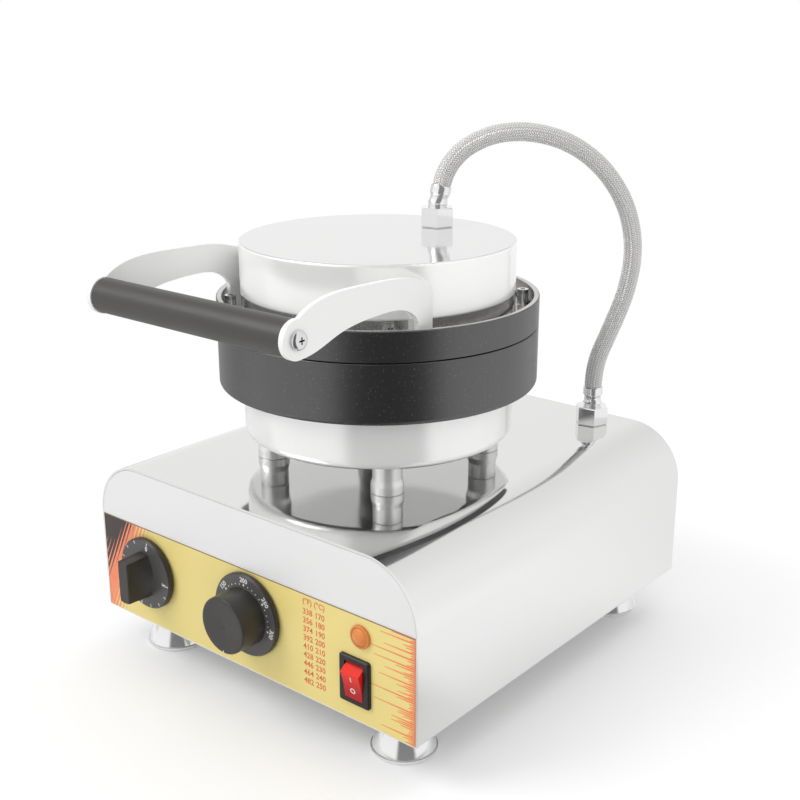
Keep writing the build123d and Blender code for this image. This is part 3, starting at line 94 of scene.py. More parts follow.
def new_material(name, colour, roughness, metallic=0.0):
    """Make a material of one Principled shader, and return it, its tree and the sockets."""
    material = bpy.data.materials.new(name)
    material.use_nodes = True
    sockets = material.node_tree.nodes["Principled BSDF"].inputs
    sockets["Base Color"].default_value = (*colour, 1.0)
    sockets["Roughness"].default_value = roughness
    sockets["Metallic"].default_value = metallic
    return material, material.node_tree, sockets


def place_effect(tree, group, **values):
    """Add a node group with its slider values, and return its outputs."""
    node = tree.nodes.new("ShaderNodeGroup")
    node.node_tree = group
    for slider, value in values.items():
        socket = node.inputs[slider.replace("_", " ")]
        if isinstance(value, (int, float)):
            socket.default_value = value
        else:
            tree.links.new(value, socket)
    return node.outputs


def raise_surface(tree, sockets, height, distance):
    """Feed a height into the shader's normal through a Bump node."""
    bump = tree.nodes.new("ShaderNodeBump")
    bump.inputs["Distance"].default_value = distance
    tree.links.new(height, bump.inputs["Height"])
    tree.links.new(bump.outputs["Normal"], sockets["Normal"])


def blend_colours(tree, mask, low, high):
    """Mix two colours, plain or linked, by a mask, and return the mixed colour."""
    mix = tree.nodes.new("ShaderNodeMix")
    mix.data_type = "RGBA"
    tree.links.new(mask, mix.inputs["Factor"])
    for place, value in (("A", low), ("B", high)):
        socket = [s for s in mix.inputs if s.name == place and s.type == "RGBA"][0]
        if isinstance(value, tuple):
            socket.default_value = (*value, 1.0)
        else:
            tree.links.new(value, socket)
    return [s for s in mix.outputs if s.type == "RGBA"][0]


def object_place(tree):
    """Return the Object coordinates as a vector, and as x, y and z."""
    coordinates = tree.nodes.new("ShaderNodeTexCoord").outputs["Object"]
    parts = tree.nodes.new("ShaderNodeSeparateXYZ")
    tree.links.new(coordinates, parts.inputs[0])
    return coordinates, parts.outputs[0], parts.outputs[1], parts.outputs[2]


def dress(material, *names):
    """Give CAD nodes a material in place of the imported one."""
    for name in names:
        node = nodes[name]
        node.data.materials.clear()
        node.data.materials.append(material)


polish, inlet, outlet = new_effect(
    "polish", {"Smudge": 0.03, "Rub": 0.02, "Base": 0.05}, ("Roughness", "Height")
)
coordinates, along_x, along_y, along_z = object_place(polish)
smudge = noise(polish, coordinates, 14.0, 3.0)
rub = noise(polish, coordinates, 320.0, 4.0)
marks = compute(polish, "MULTIPLY", smudge, inlet["Smudge"])
marks = compute(polish, "MULTIPLY_ADD", rub, inlet["Rub"], marks)
polish.links.new(compute(polish, "ADD", marks, inlet["Base"]), outlet["Roughness"])
polish.links.new(compute(polish, "MULTIPLY_ADD", rub, 0.06, smudge), outlet["Height"])

top_colour, side_colour_painted_lighter = (0.76, 0.76, 0.755), (0.87, 0.87, 0.865)
shoulder_start_x, shoulder_end_x = 0.1, 0.127
polished_steel, tree, sockets = new_material("polished_steel", top_colour, 0.06, 1.0)
coordinates, along_x, along_y, along_z = object_place(tree)
marks = place_effect(tree, polish, Base=0.03, Smudge=0.03, Rub=0.02)
on_side = ramp(tree, compute(tree, "ABSOLUTE", along_x), shoulder_start_x, shoulder_end_x)
# Painted light: the sides get a lighter colour than the top of the same steel.
tree.links.new(blend_colours(tree, on_side, top_colour, side_colour_painted_lighter), sockets["Base Color"])
side_roughness = compute(tree, "MULTIPLY_ADD", on_side, 0.2, marks["Roughness"])
tree.links.new(side_roughness, sockets["Roughness"])
raise_surface(tree, sockets, marks["Height"], 0.00002)
dress(polished_steel, "housing_shell")

# Front plate: the same steel sheet with a satin face, its lower part under the printed label.
# It is cut to the shell's outline and stands just inside its front edge, on a folded flange.
satin_face, tree, sockets = new_material("satin_face", (0.77, 0.77, 0.77), 0.42, 0.3)
marks = place_effect(tree, polish, Base=0.4, Smudge=0.08, Rub=0.04)
tree.links.new(marks["Roughness"], sockets["Roughness"])
raise_surface(tree, sockets, marks["Height"], 0.00002)
dress(satin_face, "front_plate")

# Rear and bottom plates: steel sheet with its mill grain left on, where it doesn't show.
# Slots are punched in both for air, and the bottom one is screwed under the shell's lips.
satin_steel, tree, sockets = new_material("satin_steel", (0.68, 0.68, 0.67), 0.3, 1.0)
coordinates, along_x, along_y, along_z = object_place(tree)
grain_map = tree.nodes.new("ShaderNodeMapping")
grain_map.inputs["Scale"].default_value = (8.0, 8.0, 1400.0)
tree.links.new(coordinates, grain_map.inputs["Vector"])
mill_grain = noise(tree, grain_map.outputs[0], 1.0, 3.0)
tree.links.new(compute(tree, "MULTIPLY_ADD", mill_grain, 0.25, 0.2), sockets["Roughness"])
raise_surface(tree, sockets, mill_grain, 0.00003)
dress(satin_steel, "rear_plate", "bottom_plate")

# Feet, hose nuts and ferrules: turned from steel bar and chromed.
# Screws from inside pull the feet up to the bottom plate, and lock nuts hold the hose nuts to
# the housing's top and the upper cover.
chrome, tree, sockets = new_material("chrome", (0.86, 0.86, 0.86), 0.1, 0.85)
marks = place_effect(tree, polish, Base=0.06, Smudge=0.05, Rub=0.04)
tree.links.new(marks["Roughness"], sockets["Roughness"])
raise_surface(tree, sockets, marks["Height"], 0.00003)
dress(
    chrome, "foot_front_left", "foot_front_right", "foot_rear_left", "foot_rear_right",
    "upper_hose_nut", "lower_hose_nut", "upper_hose_ferrule", "lower_hose_ferrule",
)

# Plain fixings: screws, bolts, studs, lock nuts, shafts, the hinge pin and its clip.
# They are of steel, plated bright, and take the same finish as the chromed fittings.
dress(
    chrome, "bottom_screws", "foot_screws", "post_bolts", "lower_clamp_screw", "upper_clamp_stud",
    "upper_clamp_nut", "hinge_pin", "hinge_clip", "handle_rod", "cover_pillars", "shaft_nuts",
    "upper_hose_locknut", "lower_hose_locknut", "timer_shaft", "thermostat_shaft",
)

# Posts: four short tubes turned from steel, with grooves and fine lathe lines around them.
# They carry the head. Bolts run up through three of them into the lower mould, and the
# thermostat's tube goes down the fourth.
turned_steel, tree, sockets = new_material("turned_steel", (0.86, 0.86, 0.855), 0.32, 0.6)
coordinates, along_x, along_y, along_z = object_place(tree)
lathe_map = tree.nodes.new("ShaderNodeMapping")
lathe_map.inputs["Scale"].default_value = (30.0, 30.0, 2600.0)
tree.links.new(coordinates, lathe_map.inputs["Vector"])
lathe_lines = noise(tree, lathe_map.outputs[0], 1.0, 2.0)
tree.links.new(compute(tree, "MULTIPLY_ADD", lathe_lines, 0.16, 0.24), sockets["Roughness"])
raise_surface(tree, sockets, lathe_lines, 0.00002)
dress(turned_steel, "post_front_left", "post_front_right", "post_rear_left", "post_rear_right")

# Head covers: two drawn cups of thin stainless steel with a soft bright finish.
# The lower one stands on the posts. Pillars and screws hold the upper one's flange in the trough.
head_y, trough_z, rim_z = -0.0085, 0.2212, 0.2332
cover_top_start_z, cover_top_z = 0.2656, 0.2662
cover_foot_z, cover_foot_end_z = 0.2350, 0.2368
underside_z, underside_end_z = 0.1472, 0.1490
cover_wall_painted_lighter, cover_top_painted_darker = (0.95, 0.95, 0.945), (0.75, 0.75, 0.745)
cover_steel, tree, sockets = new_material("cover_steel", cover_wall_painted_lighter, 0.2, 0.3)
coordinates, along_x, along_y, along_z = object_place(tree)
on_top = ramp(tree, along_z, cover_top_start_z, cover_top_z)
# Painted light and shade: the walls get a lighter colour and the flat tops a darker one.
tree.links.new(blend_colours(tree, on_top, cover_wall_painted_lighter, cover_top_painted_darker), sockets["Base Color"])
above_trough = compute(tree, "GREATER_THAN", along_z, trough_z - 0.001)
at_foot = compute(
    tree, "MULTIPLY", ramp(tree, along_z, cover_foot_end_z, cover_foot_z), above_trough
)
underneath = ramp(tree, along_z, underside_end_z, underside_z)
bright = compute(tree, "MAXIMUM", compute(tree, "MAXIMUM", on_top, at_foot), underneath)
tree.links.new(compute(tree, "MULTIPLY_ADD", bright, 0.6, 0.3), sockets["Metallic"])
marks = place_effect(tree, polish, Base=0.16, Smudge=0.04, Rub=0.01)
cover_roughness = compute(tree, "MULTIPLY_ADD", bright, -0.09, marks["Roughness"])
tree.links.new(cover_roughness, sockets["Roughness"])
dress(cover_steel, "lower_cover", "upper_cover")

# Moulds: iron castings, one with the bowl and one with the plug, each with a waffle lattice.
# They have a dark non-stick coating that holds fine bright flakes. The upper one's rim and the
# trough behind it are machined bright, its floor painted dark as a painted reflection of the
# coated walls.
trough_radius, rim_radius = 0.0949, 0.0976
coated_iron, tree, sockets = new_material("coated_iron", (0.008, 0.008, 0.009), 0.34)
sockets["Specular IOR Level"].default_value = 0.8
sockets["IOR"].default_value = 1.75
coordinates, along_x, along_y, along_z = object_place(tree)
flakes = tree.nodes.new("ShaderNodeTexVoronoi")
flakes.inputs["Scale"].default_value = 1300.0
tree.links.new(coordinates, flakes.inputs["Vector"])
flake_parts = tree.nodes.new("ShaderNodeSeparateColor")
tree.links.new(flakes.outputs["Color"], flake_parts.inputs[0])
flake = compute(
    tree, "MULTIPLY", compute(tree, "GREATER_THAN", flake_parts.outputs[0], 0.92),
    compute(tree, "LESS_THAN", flakes.outputs["Distance"], 0.35),
)
flake_strength = compute(tree, "MULTIPLY_ADD", flake_parts.outputs[1], 0.6, 0.2)
flake = compute(tree, "MULTIPLY", flake, flake_strength)
coat_colour = blend_colours(tree, flake, (0.004, 0.004, 0.005), (0.15, 0.15, 0.155))
from_axis = compute(
    tree, "SQRT",
    compute(
        tree, "ADD", compute(tree, "POWER", along_x, 2.0),
        compute(tree, "POWER", compute(tree, "SUBTRACT", along_y, head_y), 2.0),
    ),
)
above_trough = compute(tree, "GREATER_THAN", along_z, trough_z - 0.0001)
in_trough = compute(
    tree, "MULTIPLY", compute(tree, "LESS_THAN", from_axis, trough_radius), above_trough
)
on_rim = compute(
    tree, "MULTIPLY", compute(tree, "LESS_THAN", from_axis, rim_radius),
    compute(tree, "GREATER_THAN", along_z, rim_z - 0.0002),
)
machined = compute(tree, "MAXIMUM", in_trough, on_rim)
turning = noise(tree, coordinates, 60.0, 2.0)
machined_colour = blend_colours(tree, turning, (0.46, 0.45, 0.44), (0.64, 0.63, 0.62))
# Painted reflection: the trough's floor is painted dark, for the coated walls seen in it.
trough_floor_painted_reflection = blend_colours(tree, turning, (0.07, 0.065, 0.06), (0.20, 0.19, 0.18))
up_wall = ramp(tree, along_z, trough_z + 0.0008, trough_z + 0.0040)
machined_colour = blend_colours(tree, up_wall, trough_floor_painted_reflection, machined_colour)
tree.links.new(blend_colours(tree, machined, coat_colour, machined_colour), sockets["Base Color"])
tree.links.new(machined, sockets["Metallic"])
cast_skin = noise(tree, coordinates, 900.0, 3.0)
coat_roughness = compute(tree, "MULTIPLY_ADD", cast_skin, 0.12, 0.28)
tree.links.new(compute(tree, "MULTIPLY_ADD", machined, -0.1, coat_roughness), sockets["Roughness"])
coat_height = compute(tree, "MULTIPLY", cast_skin, compute(tree, "SUBTRACT", 1.0, machined))
raise_surface(tree, sockets, coat_height, 0.00003)
dress(coated_iron, "lower_mould", "upper_mould")

# Handle arms: a pair of curved plates cut from steel, with a fine satin finish.
# Each has a tongue that stands in the upper mould's trough, and an eye for the grip's rod.
arm_steel, tree, sockets = new_material("arm_steel", (0.86, 0.86, 0.855), 0.4, 0.3)
marks = place_effect(tree, polish, Base=0.34, Smudge=0.08, Rub=0.05)
tree.links.new(marks["Roughness"], sockets["Roughness"])
raise_surface(tree, sockets, marks["Height"], 0.00003)
dress(arm_steel, "handle_arm_left", "handle_arm_right")

# Grip: a dark heat-proof plastic tube with a fine moulded skin.
# A steel rod runs through it, and a screw at each end clamps it between the arms.
skin, inlet, outlet = new_effect(
    "moulded_skin", {"Base": 0.4, "Spread": 0.15}, ("Roughness", "Height")
)
coordinates, along_x, along_y, along_z = object_place(skin)
fine_skin = noise(skin, coordinates, 1800.0, 2.0)
broad_skin = noise(skin, coordinates, 35.0, 3.0)
skin_roughness = compute(skin, "MULTIPLY_ADD", broad_skin, inlet["Spread"], inlet["Base"])
skin.links.new(skin_roughness, outlet["Roughness"])
skin.links.new(fine_skin, outlet["Height"])
dark_grip, tree, sockets = new_material("dark_grip", (0.046, 0.044, 0.042), 0.42)
moulding = place_effect(tree, skin, Base=0.34, Spread=0.16)
tree.links.new(moulding["Roughness"], sockets["Roughness"])
raise_surface(tree, sockets, moulding["Height"], 0.00006)
dress(dark_grip, "handle_grip")

# Handle and cover screws: domed and cheese heads with a cross recess, plated bright.
# Two hold the grip's rod to the arms, and the others hold the upper cover on its pillars.
grip_y, grip_z = -0.1558, 0.2459
handle_head_x, cover_head_z = 0.0772, 0.2310
cover_screw_pitch = 0.06335
recess_half_width, recess_half_length = 0.00045, 0.0019
plating, recess_painted_shade = (0.74, 0.74, 0.74), (0.035, 0.035, 0.035)
cross, inlet, outlet = new_effect("cross_recess", {"Across": 0.0, "Along": 0.0}, ("Mask",))
off_across = compute(cross, "ABSOLUTE", inlet["Across"])
off_along = compute(cross, "ABSOLUTE", inlet["Along"])
nearer = compute(cross, "MINIMUM", off_across, off_along)
farther = compute(cross, "MAXIMUM", off_across, off_along)
in_slot = compute(cross, "LESS_THAN", nearer, recess_half_width)
in_length = compute(cross, "LESS_THAN", farther, recess_half_length)
cross.links.new(compute(cross, "MULTIPLY", in_slot, in_length), outlet["Mask"])
for screw_name in ("handle_screws", "cover_screws"):
    screw_steel, tree, sockets = new_material(screw_name + "_plating", plating, 0.16, 1.0)
    coordinates, along_x, along_y, along_z = object_place(tree)
    if screw_name == "handle_screws":
        across = compute(tree, "SUBTRACT", along_y, grip_y)
        along = compute(tree, "SUBTRACT", along_z, grip_z)
        on_head = compute(tree, "GREATER_THAN", compute(tree, "ABSOLUTE", along_x), handle_head_x)
    else:
        across = compute(tree, "SUBTRACT", compute(tree, "ABSOLUTE", along_x), cover_screw_pitch)
        from_head = compute(tree, "ABSOLUTE", compute(tree, "SUBTRACT", along_y, head_y))
        along = compute(tree, "SUBTRACT", from_head, cover_screw_pitch)
        on_head = compute(tree, "GREATER_THAN", along_z, cover_head_z)
    recess = place_effect(tree, cross, Across=across, Along=along)["Mask"]
    recess = compute(tree, "MULTIPLY", recess, on_head)
    # Painted shade: the cross recess is painted near black, for the shade inside it.
    screw_colour = blend_colours(tree, recess, plating, recess_painted_shade)
    tree.links.new(screw_colour, sockets["Base Color"])
    marks = place_effect(tree, polish, Base=0.12, Smudge=0.06, Rub=0.05)
    tree.links.new(marks["Roughness"], sockets["Roughness"])
    raise_surface(tree, sockets, compute(tree, "SUBTRACT", 1.0, recess), 0.0003)
    dress(screw_steel, screw_name)

# Braided hose: a steel-wire braid over a tube, crimped into a ferrule at each end.
# It leaves the upper fitting leaning back, arches over and comes down behind the head.
hose_radius = 0.0059
hose_route = [
    (0.0058, 0.0462, 0.2918), (0.0066, 0.0471, 0.2977), (0.0107, 0.0521, 0.3084),
    (0.0175, 0.0601, 0.3170), (0.0287, 0.0735, 0.3236), (0.0438, 0.0916, 0.3238),
    (0.0601, 0.1111, 0.3160), (0.0745, 0.1284, 0.2990), (0.0848, 0.1407, 0.2750),
    (0.0890, 0.1457, 0.2470), (0.0867, 0.1430, 0.2190), (0.0800, 0.1349, 0.1920),
    (0.0738, 0.1275, 0.1693), (0.0738, 0.1275, 0.1543),
]
hose_line = bpy.data.curves.new("hose_line", "CURVE")
hose_line.dimensions = "3D"
hose_line.resolution_u = 24
hose_spline = hose_line.splines.new("NURBS")
hose_spline.points.add(len(hose_route) - 1)
for point, place in zip(hose_spline.points, hose_route):
    point.co = (*place, 1.0)
hose_spline.order_u = 3
hose_spline.use_endpoint_u = True
hose_guide = bpy.data.objects.new("hose_guide", hose_line)
bpy.context.scene.collection.objects.link(hose_guide)
bpy.context.view_layer.update()
hose_path = [point.co.copy() for point in bpy.data.meshes.new_from_object(hose_guide).vertices]
bpy.data.objects.remove(hose_guide)

# The braid has 20 flat strands each way, over two and under two, so its bands run along the hose.
strands = 20
ring_sides = 120
rings_per_pitch = 4
braid_pitch = 0.0016
braid_lift = 0.0003
core_radius = hose_radius - braid_lift
settle_length = 0.002
headings = []
for step in range(len(hose_path)):
    behind, ahead = hose_path[max(step - 1, 0)], hose_path[min(step + 1, len(hose_path) - 1)]
    headings.append((ahead - behind).normalized())
travelled = [0.0]
for here, there in zip(hose_path, hose_path[1:]):
    travelled.append(travelled[-1] + (there - here).length)
hose_length = travelled[-1]
ring_count = int(hose_length / braid_pitch * rings_per_pitch)
verts, faces = [], []
leg = 0
side_dir = Vector((0.77, -0.64, 0.0))
for ring in range(ring_count + 1):
    along = hose_length * ring / ring_count
    while leg < len(travelled) - 2 and travelled[leg + 1] < along:
        leg += 1
    share = (along - travelled[leg]) / (travelled[leg + 1] - travelled[leg])
    centre = hose_path[leg].lerp(hose_path[leg + 1], share)
    heading = headings[leg].lerp(headings[leg + 1], share).normalized()
    side_dir = (side_dir - heading * side_dir.dot(heading)).normalized()
    up_dir = heading.cross(side_dir)
    settle = min(1.0, along / settle_length, (hose_length - along) / settle_length)
    for side in range(ring_sides):
        angle = 2 * pi * side / ring_sides
        rising = strands * side / ring_sides + along / braid_pitch
        falling = strands * side / ring_sides - along / braid_pitch
        over = (int(rising // 1) + int(falling // 1)) % 4 < 2
        if over:
            across, float_share = rising % 1.0, ((rising // 1 + falling) % 4) / 2
        else:
            across, float_share = falling % 1.0, ((falling // 1 + rising) % 4 - 2) / 2
        float_share = min(max(float_share, 0.0), 1.0)
        crown = (1 - (2 * across - 1) ** 4) * (0.4 + 0.6 * sin(pi * float_share))
        reach = core_radius + braid_lift * crown * settle
        verts.append(centre + side_dir * (reach * cos(angle)) + up_dir * (reach * sin(angle)))
for ring in range(ring_count):
    for side in range(ring_sides):
        corner = ring * ring_sides + side
        beside = ring * ring_sides + (side + 1) % ring_sides
        faces.append((corner, beside, beside + ring_sides, corner + ring_sides))
faces.append(tuple(range(ring_sides - 1, -1, -1)))
faces.append(tuple(range(ring_count * ring_sides, (ring_count + 1) * ring_sides)))
hose_mesh = bpy.data.meshes.new("hose")
hose_mesh.from_pydata([tuple(v) for v in verts], [], faces)
hose_mesh.shade_smooth()
hose = bpy.data.objects.new("hose_braid", hose_mesh)
bpy.context.scene.collection.objects.link(hose)
braid_layer = hose_mesh.uv_layers.new(name="braid")
for face in hose_mesh.polygons[:ring_count * ring_sides]:
    ring, side = divmod(face.index, ring_sides)
    ring_ends = (ring, ring, ring + 1, ring + 1)
    side_ends = (side, side + 1, side + 1, side)
    for loop, ring_end, side_end in zip(face.loop_indices, ring_ends, side_ends):
        down_share = hose_length * ring_end / ring_count / braid_pitch
        braid_layer.data[loop].uv = (strands * side_end / ring_sides, down_share)

wire_braid, tree, sockets = new_material("wire_braid", (0.6, 0.6, 0.6), 0.34, 0.45)
braid_map = tree.nodes.new("ShaderNodeUVMap")
braid_map.uv_map = "braid"
braid_place = tree.nodes.new("ShaderNodeSeparateXYZ")
tree.links.new(braid_map.outputs["UV"], braid_place.inputs[0])
around, down = braid_place.outputs[0], braid_place.outputs[1]
rising = compute(tree, "ADD", around, down)
falling = compute(tree, "SUBTRACT", around, down)
rising_strand = compute(tree, "FLOOR", rising)
falling_strand = compute(tree, "FLOOR", falling)
cell = compute(tree, "FLOORED_MODULO", compute(tree, "ADD", rising_strand, falling_strand), 4.0)
over = compute(tree, "LESS_THAN", cell, 1.5)
under = compute(tree, "SUBTRACT", 1.0, over)
across = compute(tree, "MULTIPLY_ADD", rising, over, compute(tree, "MULTIPLY", falling, under))
over_run = compute(tree, "FLOORED_MODULO", compute(tree, "ADD", rising_strand, falling), 4.0)
under_run = compute(tree, "FLOORED_MODULO", compute(tree, "ADD", falling_strand, rising), 4.0)
under_run = compute(tree, "SUBTRACT", under_run, 2.0)
run = compute(tree, "MULTIPLY_ADD", over_run, over, compute(tree, "MULTIPLY", under_run, under))
float_crown = compute(tree, "SINE", compute(tree, "MULTIPLY", run, pi / 2))
from_middle = compute(
    tree, "ABSOLUTE", compute(tree, "MULTIPLY_ADD", compute(tree, "FRACT", across), 2.0, -1.0)
)
strand_crown = compute(tree, "SUBTRACT", 1.0, compute(tree, "POWER", from_middle, 3.0), clamp=True)
wires = compute(tree, "ABSOLUTE", compute(tree, "SINE", compute(tree, "MULTIPLY", across, 4 * pi)))
# Painted shade and highlight: dark in the gaps and at float ends, bright on strand crowns.
float_shade = compute(tree, "MULTIPLY_ADD", float_crown, 0.6, 0.4)
wire_shade = compute(tree, "MULTIPLY_ADD", wires, 0.25, 0.75)
shade = compute(tree, "MULTIPLY", strand_crown, float_shade)
shade = compute(tree, "MULTIPLY", shade, wire_shade, clamp=True)
braid_colour_painted_shade = blend_colours(tree, shade, (0.38, 0.375, 0.37), (0.98, 0.975, 0.965))
tree.links.new(braid_colour_painted_shade, sockets["Base Color"])
raise_surface(tree, sockets, wires, 0.0001)
hose_mesh.materials.append(wire_braid)
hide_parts("braided_hose")
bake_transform(hose)

# Control label: a yellow printed film on the front plate, inside a thin brown line. Slanted stripes
# fill its left end, and streaks run in from its right end.
label_left, label_right, label_top, label_middle = -0.128, 0.128, 0.091, 0.059
stripe_pitch, stripe_slant, stripe_start_x, stripe_fade = 0.0034, 0.45, -0.097, 0.028
streak_pitch, border_width = 0.00125, 0.0004
label_yellows = (0.74, 0.61, 0.21), (0.77, 0.64, 0.235)
stripe_reds = (0.78, 0.16, 0.07), (0.86, 0.30, 0.14)
label_film, tree, sockets = new_material("label_film", (0.80, 0.67, 0.24), 0.38)
coordinates, along_x, along_y, along_z = object_place(tree)
film_tone = blend_colours(tree, noise(tree, coordinates, 30.0, 3.0), *label_yellows)
above_middle = compute(tree, "SUBTRACT", along_z, label_middle)
slant = compute(tree, "SUBTRACT", along_x, compute(tree, "MULTIPLY", above_middle, stripe_slant))
past_start = compute(tree, "SUBTRACT", stripe_start_x, slant)
stripe_depth = compute(tree, "MULTIPLY", past_start, 1 / stripe_fade, clamp=True)
stripe_share = compute(tree, "FRACT", compute(tree, "MULTIPLY", slant, 1 / stripe_pitch))
red_stripe = compute(tree, "LESS_THAN", stripe_share, compute(tree, "MULTIPLY", stripe_depth, 1.7))
below_top = compute(tree, "SUBTRACT", along_z, label_top)
dark_depth = compute(tree, "MULTIPLY_ADD", below_top, 9.0, stripe_depth)
dark_share = compute(tree, "MULTIPLY", compute(tree, "SUBTRACT", dark_depth, 0.45), 2.4)
dark_stripe = compute(tree, "LESS_THAN", stripe_share, dark_share)
stripe_red = blend_colours(tree, noise(tree, coordinates, 260.0, 4.0), *stripe_reds)
print_colour = blend_colours(tree, red_stripe, film_tone, stripe_red)
print_colour = blend_colours(tree, dark_stripe, print_colour, (0.035, 0.022, 0.02))
streak_row = compute(tree, "MULTIPLY", along_z, 1 / streak_pitch)
streak_chance = tree.nodes.new("ShaderNodeTexWhiteNoise")
streak_chance.noise_dimensions = "1D"
tree.links.new(compute(tree, "FLOOR", streak_row), streak_chance.inputs["W"])
streak_reach = compute(
    tree, "MULTIPLY_ADD", compute(tree, "POWER", streak_chance.outputs["Value"], 2.2), 0.034, 0.003
)
from_end = compute(tree, "SUBTRACT", label_right, along_x)
in_streak = compute(tree, "LESS_THAN", from_end, streak_reach)
streak_share = compute(tree, "DIVIDE", from_end, streak_reach)
streak_width = compute(tree, "MULTIPLY_ADD", streak_share, -0.62, 0.95)
streak_line = compute(tree, "LESS_THAN", compute(tree, "FRACT", streak_row), streak_width)
streak = compute(tree, "MULTIPLY", in_streak, streak_line)
print_colour = blend_colours(tree, streak, print_colour, (0.80, 0.20, 0.075))
border = compute(
    tree, "MAXIMUM", compute(tree, "GREATER_THAN", along_z, label_top - border_width),
    compute(tree, "LESS_THAN", along_x, label_left + border_width),
)
print_colour = blend_colours(tree, border, print_colour, (0.20, 0.13, 0.05))
tree.links.new(print_colour, sockets["Base Color"])
film_grain = noise(tree, coordinates, 500.0, 2.0)
tree.links.new(compute(tree, "MULTIPLY_ADD", film_grain, 0.1, 0.32), sockets["Roughness"])
dress(label_film, "control_label")

# Temperature table: two columns of plain numbers in red ink on the label.
# The left one is in degrees Fahrenheit, the right one in degrees Celsius, in steps of ten.
label_face_y = -0.1292
print_depth, print_spread = 0.00005, 0.00008
capital_share = 0.72
table_z, table_height, table_line, sign_z, sign_height = 0.0590, 0.0036, 0.0054, 0.0866, 0.0034


def set_print(name, words, height, place, colour, lean=pi / 2, turn=0.0, line_gap=1.0):
    """Set words as a thin print, centred on a place and turned clockwise, and return its mesh."""
    bpy.ops.object.select_all(action="DESELECT")
    bpy.ops.object.text_add()
    print_text = bpy.context.object
    print_text.name = name
    print_text.data.body = words
    print_text.data.size = height / capital_share
    print_text.data.space_line = line_gap
    print_text.data.extrude = print_depth
    print_text.data.offset = print_spread
    print_text.data.resolution_u = 3
    bpy.ops.object.convert(target="MESH")
    bpy.ops.object.origin_set(type="ORIGIN_GEOMETRY", center="BOUNDS")
    print_text = bpy.context.object
    print_text.location = place
    print_text.rotation_euler = (lean, turn, 0.0)
    bpy.ops.object.transform_apply(location=True, rotation=True, scale=True)
    print_text.data.materials.clear()
    print_text.data.materials.append(colour)
    return print_text


red_print, tree, sockets = new_material("red_print", (0.66, 0.12, 0.04), 0.45)
coordinates, along_x, along_y, along_z = object_place(tree)
ink = noise(tree, coordinates, 900.0, 2.0)
ink_colour = blend_colours(tree, ink, (0.58, 0.10, 0.035), (0.74, 0.15, 0.05))
tree.links.new(ink_colour, sockets["Base Color"])
tree.links.new(compute(tree, "MULTIPLY_ADD", ink, 0.12, 0.36), sockets["Roughness"])
table_columns = (
    ("fahrenheit_numbers", "338\n356\n374\n392\n410\n428\n446\n464\n482", 0.0514),
    ("celsius_numbers", "170\n180\n190\n200\n210\n220\n230\n240\n250", 0.0606),
)
for column_name, numbers, column_x in table_columns:
    column = set_print(
        column_name, numbers, table_height, (column_x, label_face_y, table_z), red_print,
        line_gap=table_line / (table_height / capital_share),
    )
    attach(column, "base")
table_signs = (("fahrenheit_sign", "(°F)", 0.0514), ("celsius_sign", "(°C)", 0.0606))
for sign_name, sign, sign_x in table_signs:
    sign_print = set_print(sign_name, sign, sign_height, (sign_x, label_face_y, sign_z), red_print)
    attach(sign_print, "base")

# Indicator lamp: a clear amber plastic lens in a moulded ring a little deeper in colour.
# It snaps into the front plate and glows while the elements heat.
lens_deep, lens_pale = (0.62, 0.18, 0.032), (0.72, 0.27, 0.065)
amber_lens, tree, sockets = new_material("amber_lens", (0.88, 0.36, 0.08), 0.24)
coordinates, along_x, along_y, along_z = object_place(tree)
lens_cloud = noise(tree, coordinates, 240.0, 2.0)
tree.links.new(blend_colours(tree, lens_cloud, lens_deep, lens_pale), sockets["Base Color"])
tree.links.new(compute(tree, "MULTIPLY_ADD", lens_cloud, 0.12, 0.18), sockets["Roughness"])
dress(amber_lens, "lamp_lens")
amber_ring, tree, sockets = new_material("amber_ring", (0.62, 0.20, 0.045), 0.3)
moulding = place_effect(tree, skin, Base=0.24, Spread=0.12)
tree.links.new(moulding["Roughness"], sockets["Roughness"])
raise_surface(tree, sockets, moulding["Height"], 0.00003)
dress(amber_ring, "lamp_bezel")

# Rocker switch: a clear red plastic rocker with white marks, pivoted in a black moulded frame.
# The frame snaps into a hole in the front plate, through the label.
rocker_low_z, rocker_high_z = 0.042, 0.06
rocker_low_red, rocker_high_red = (0.40, 0.016, 0.018), (0.78, 0.020, 0.008)
black_plastic, tree, sockets = new_material("black_plastic", (0.016, 0.015, 0.014), 0.4)
sockets["Specular IOR Level"].default_value = 0.35
moulding = place_effect(tree, skin, Base=0.34, Spread=0.12)
tree.links.new(moulding["Roughness"], sockets["Roughness"])
raise_surface(tree, sockets, moulding["Height"], 0.00004)
dress(black_plastic, "switch_frame")
red_rocker, tree, sockets = new_material("red_rocker", (0.60, 0.02, 0.018), 0.22)
sockets["Specular IOR Level"].default_value = 0.15
coordinates, along_x, along_y, along_z = object_place(tree)
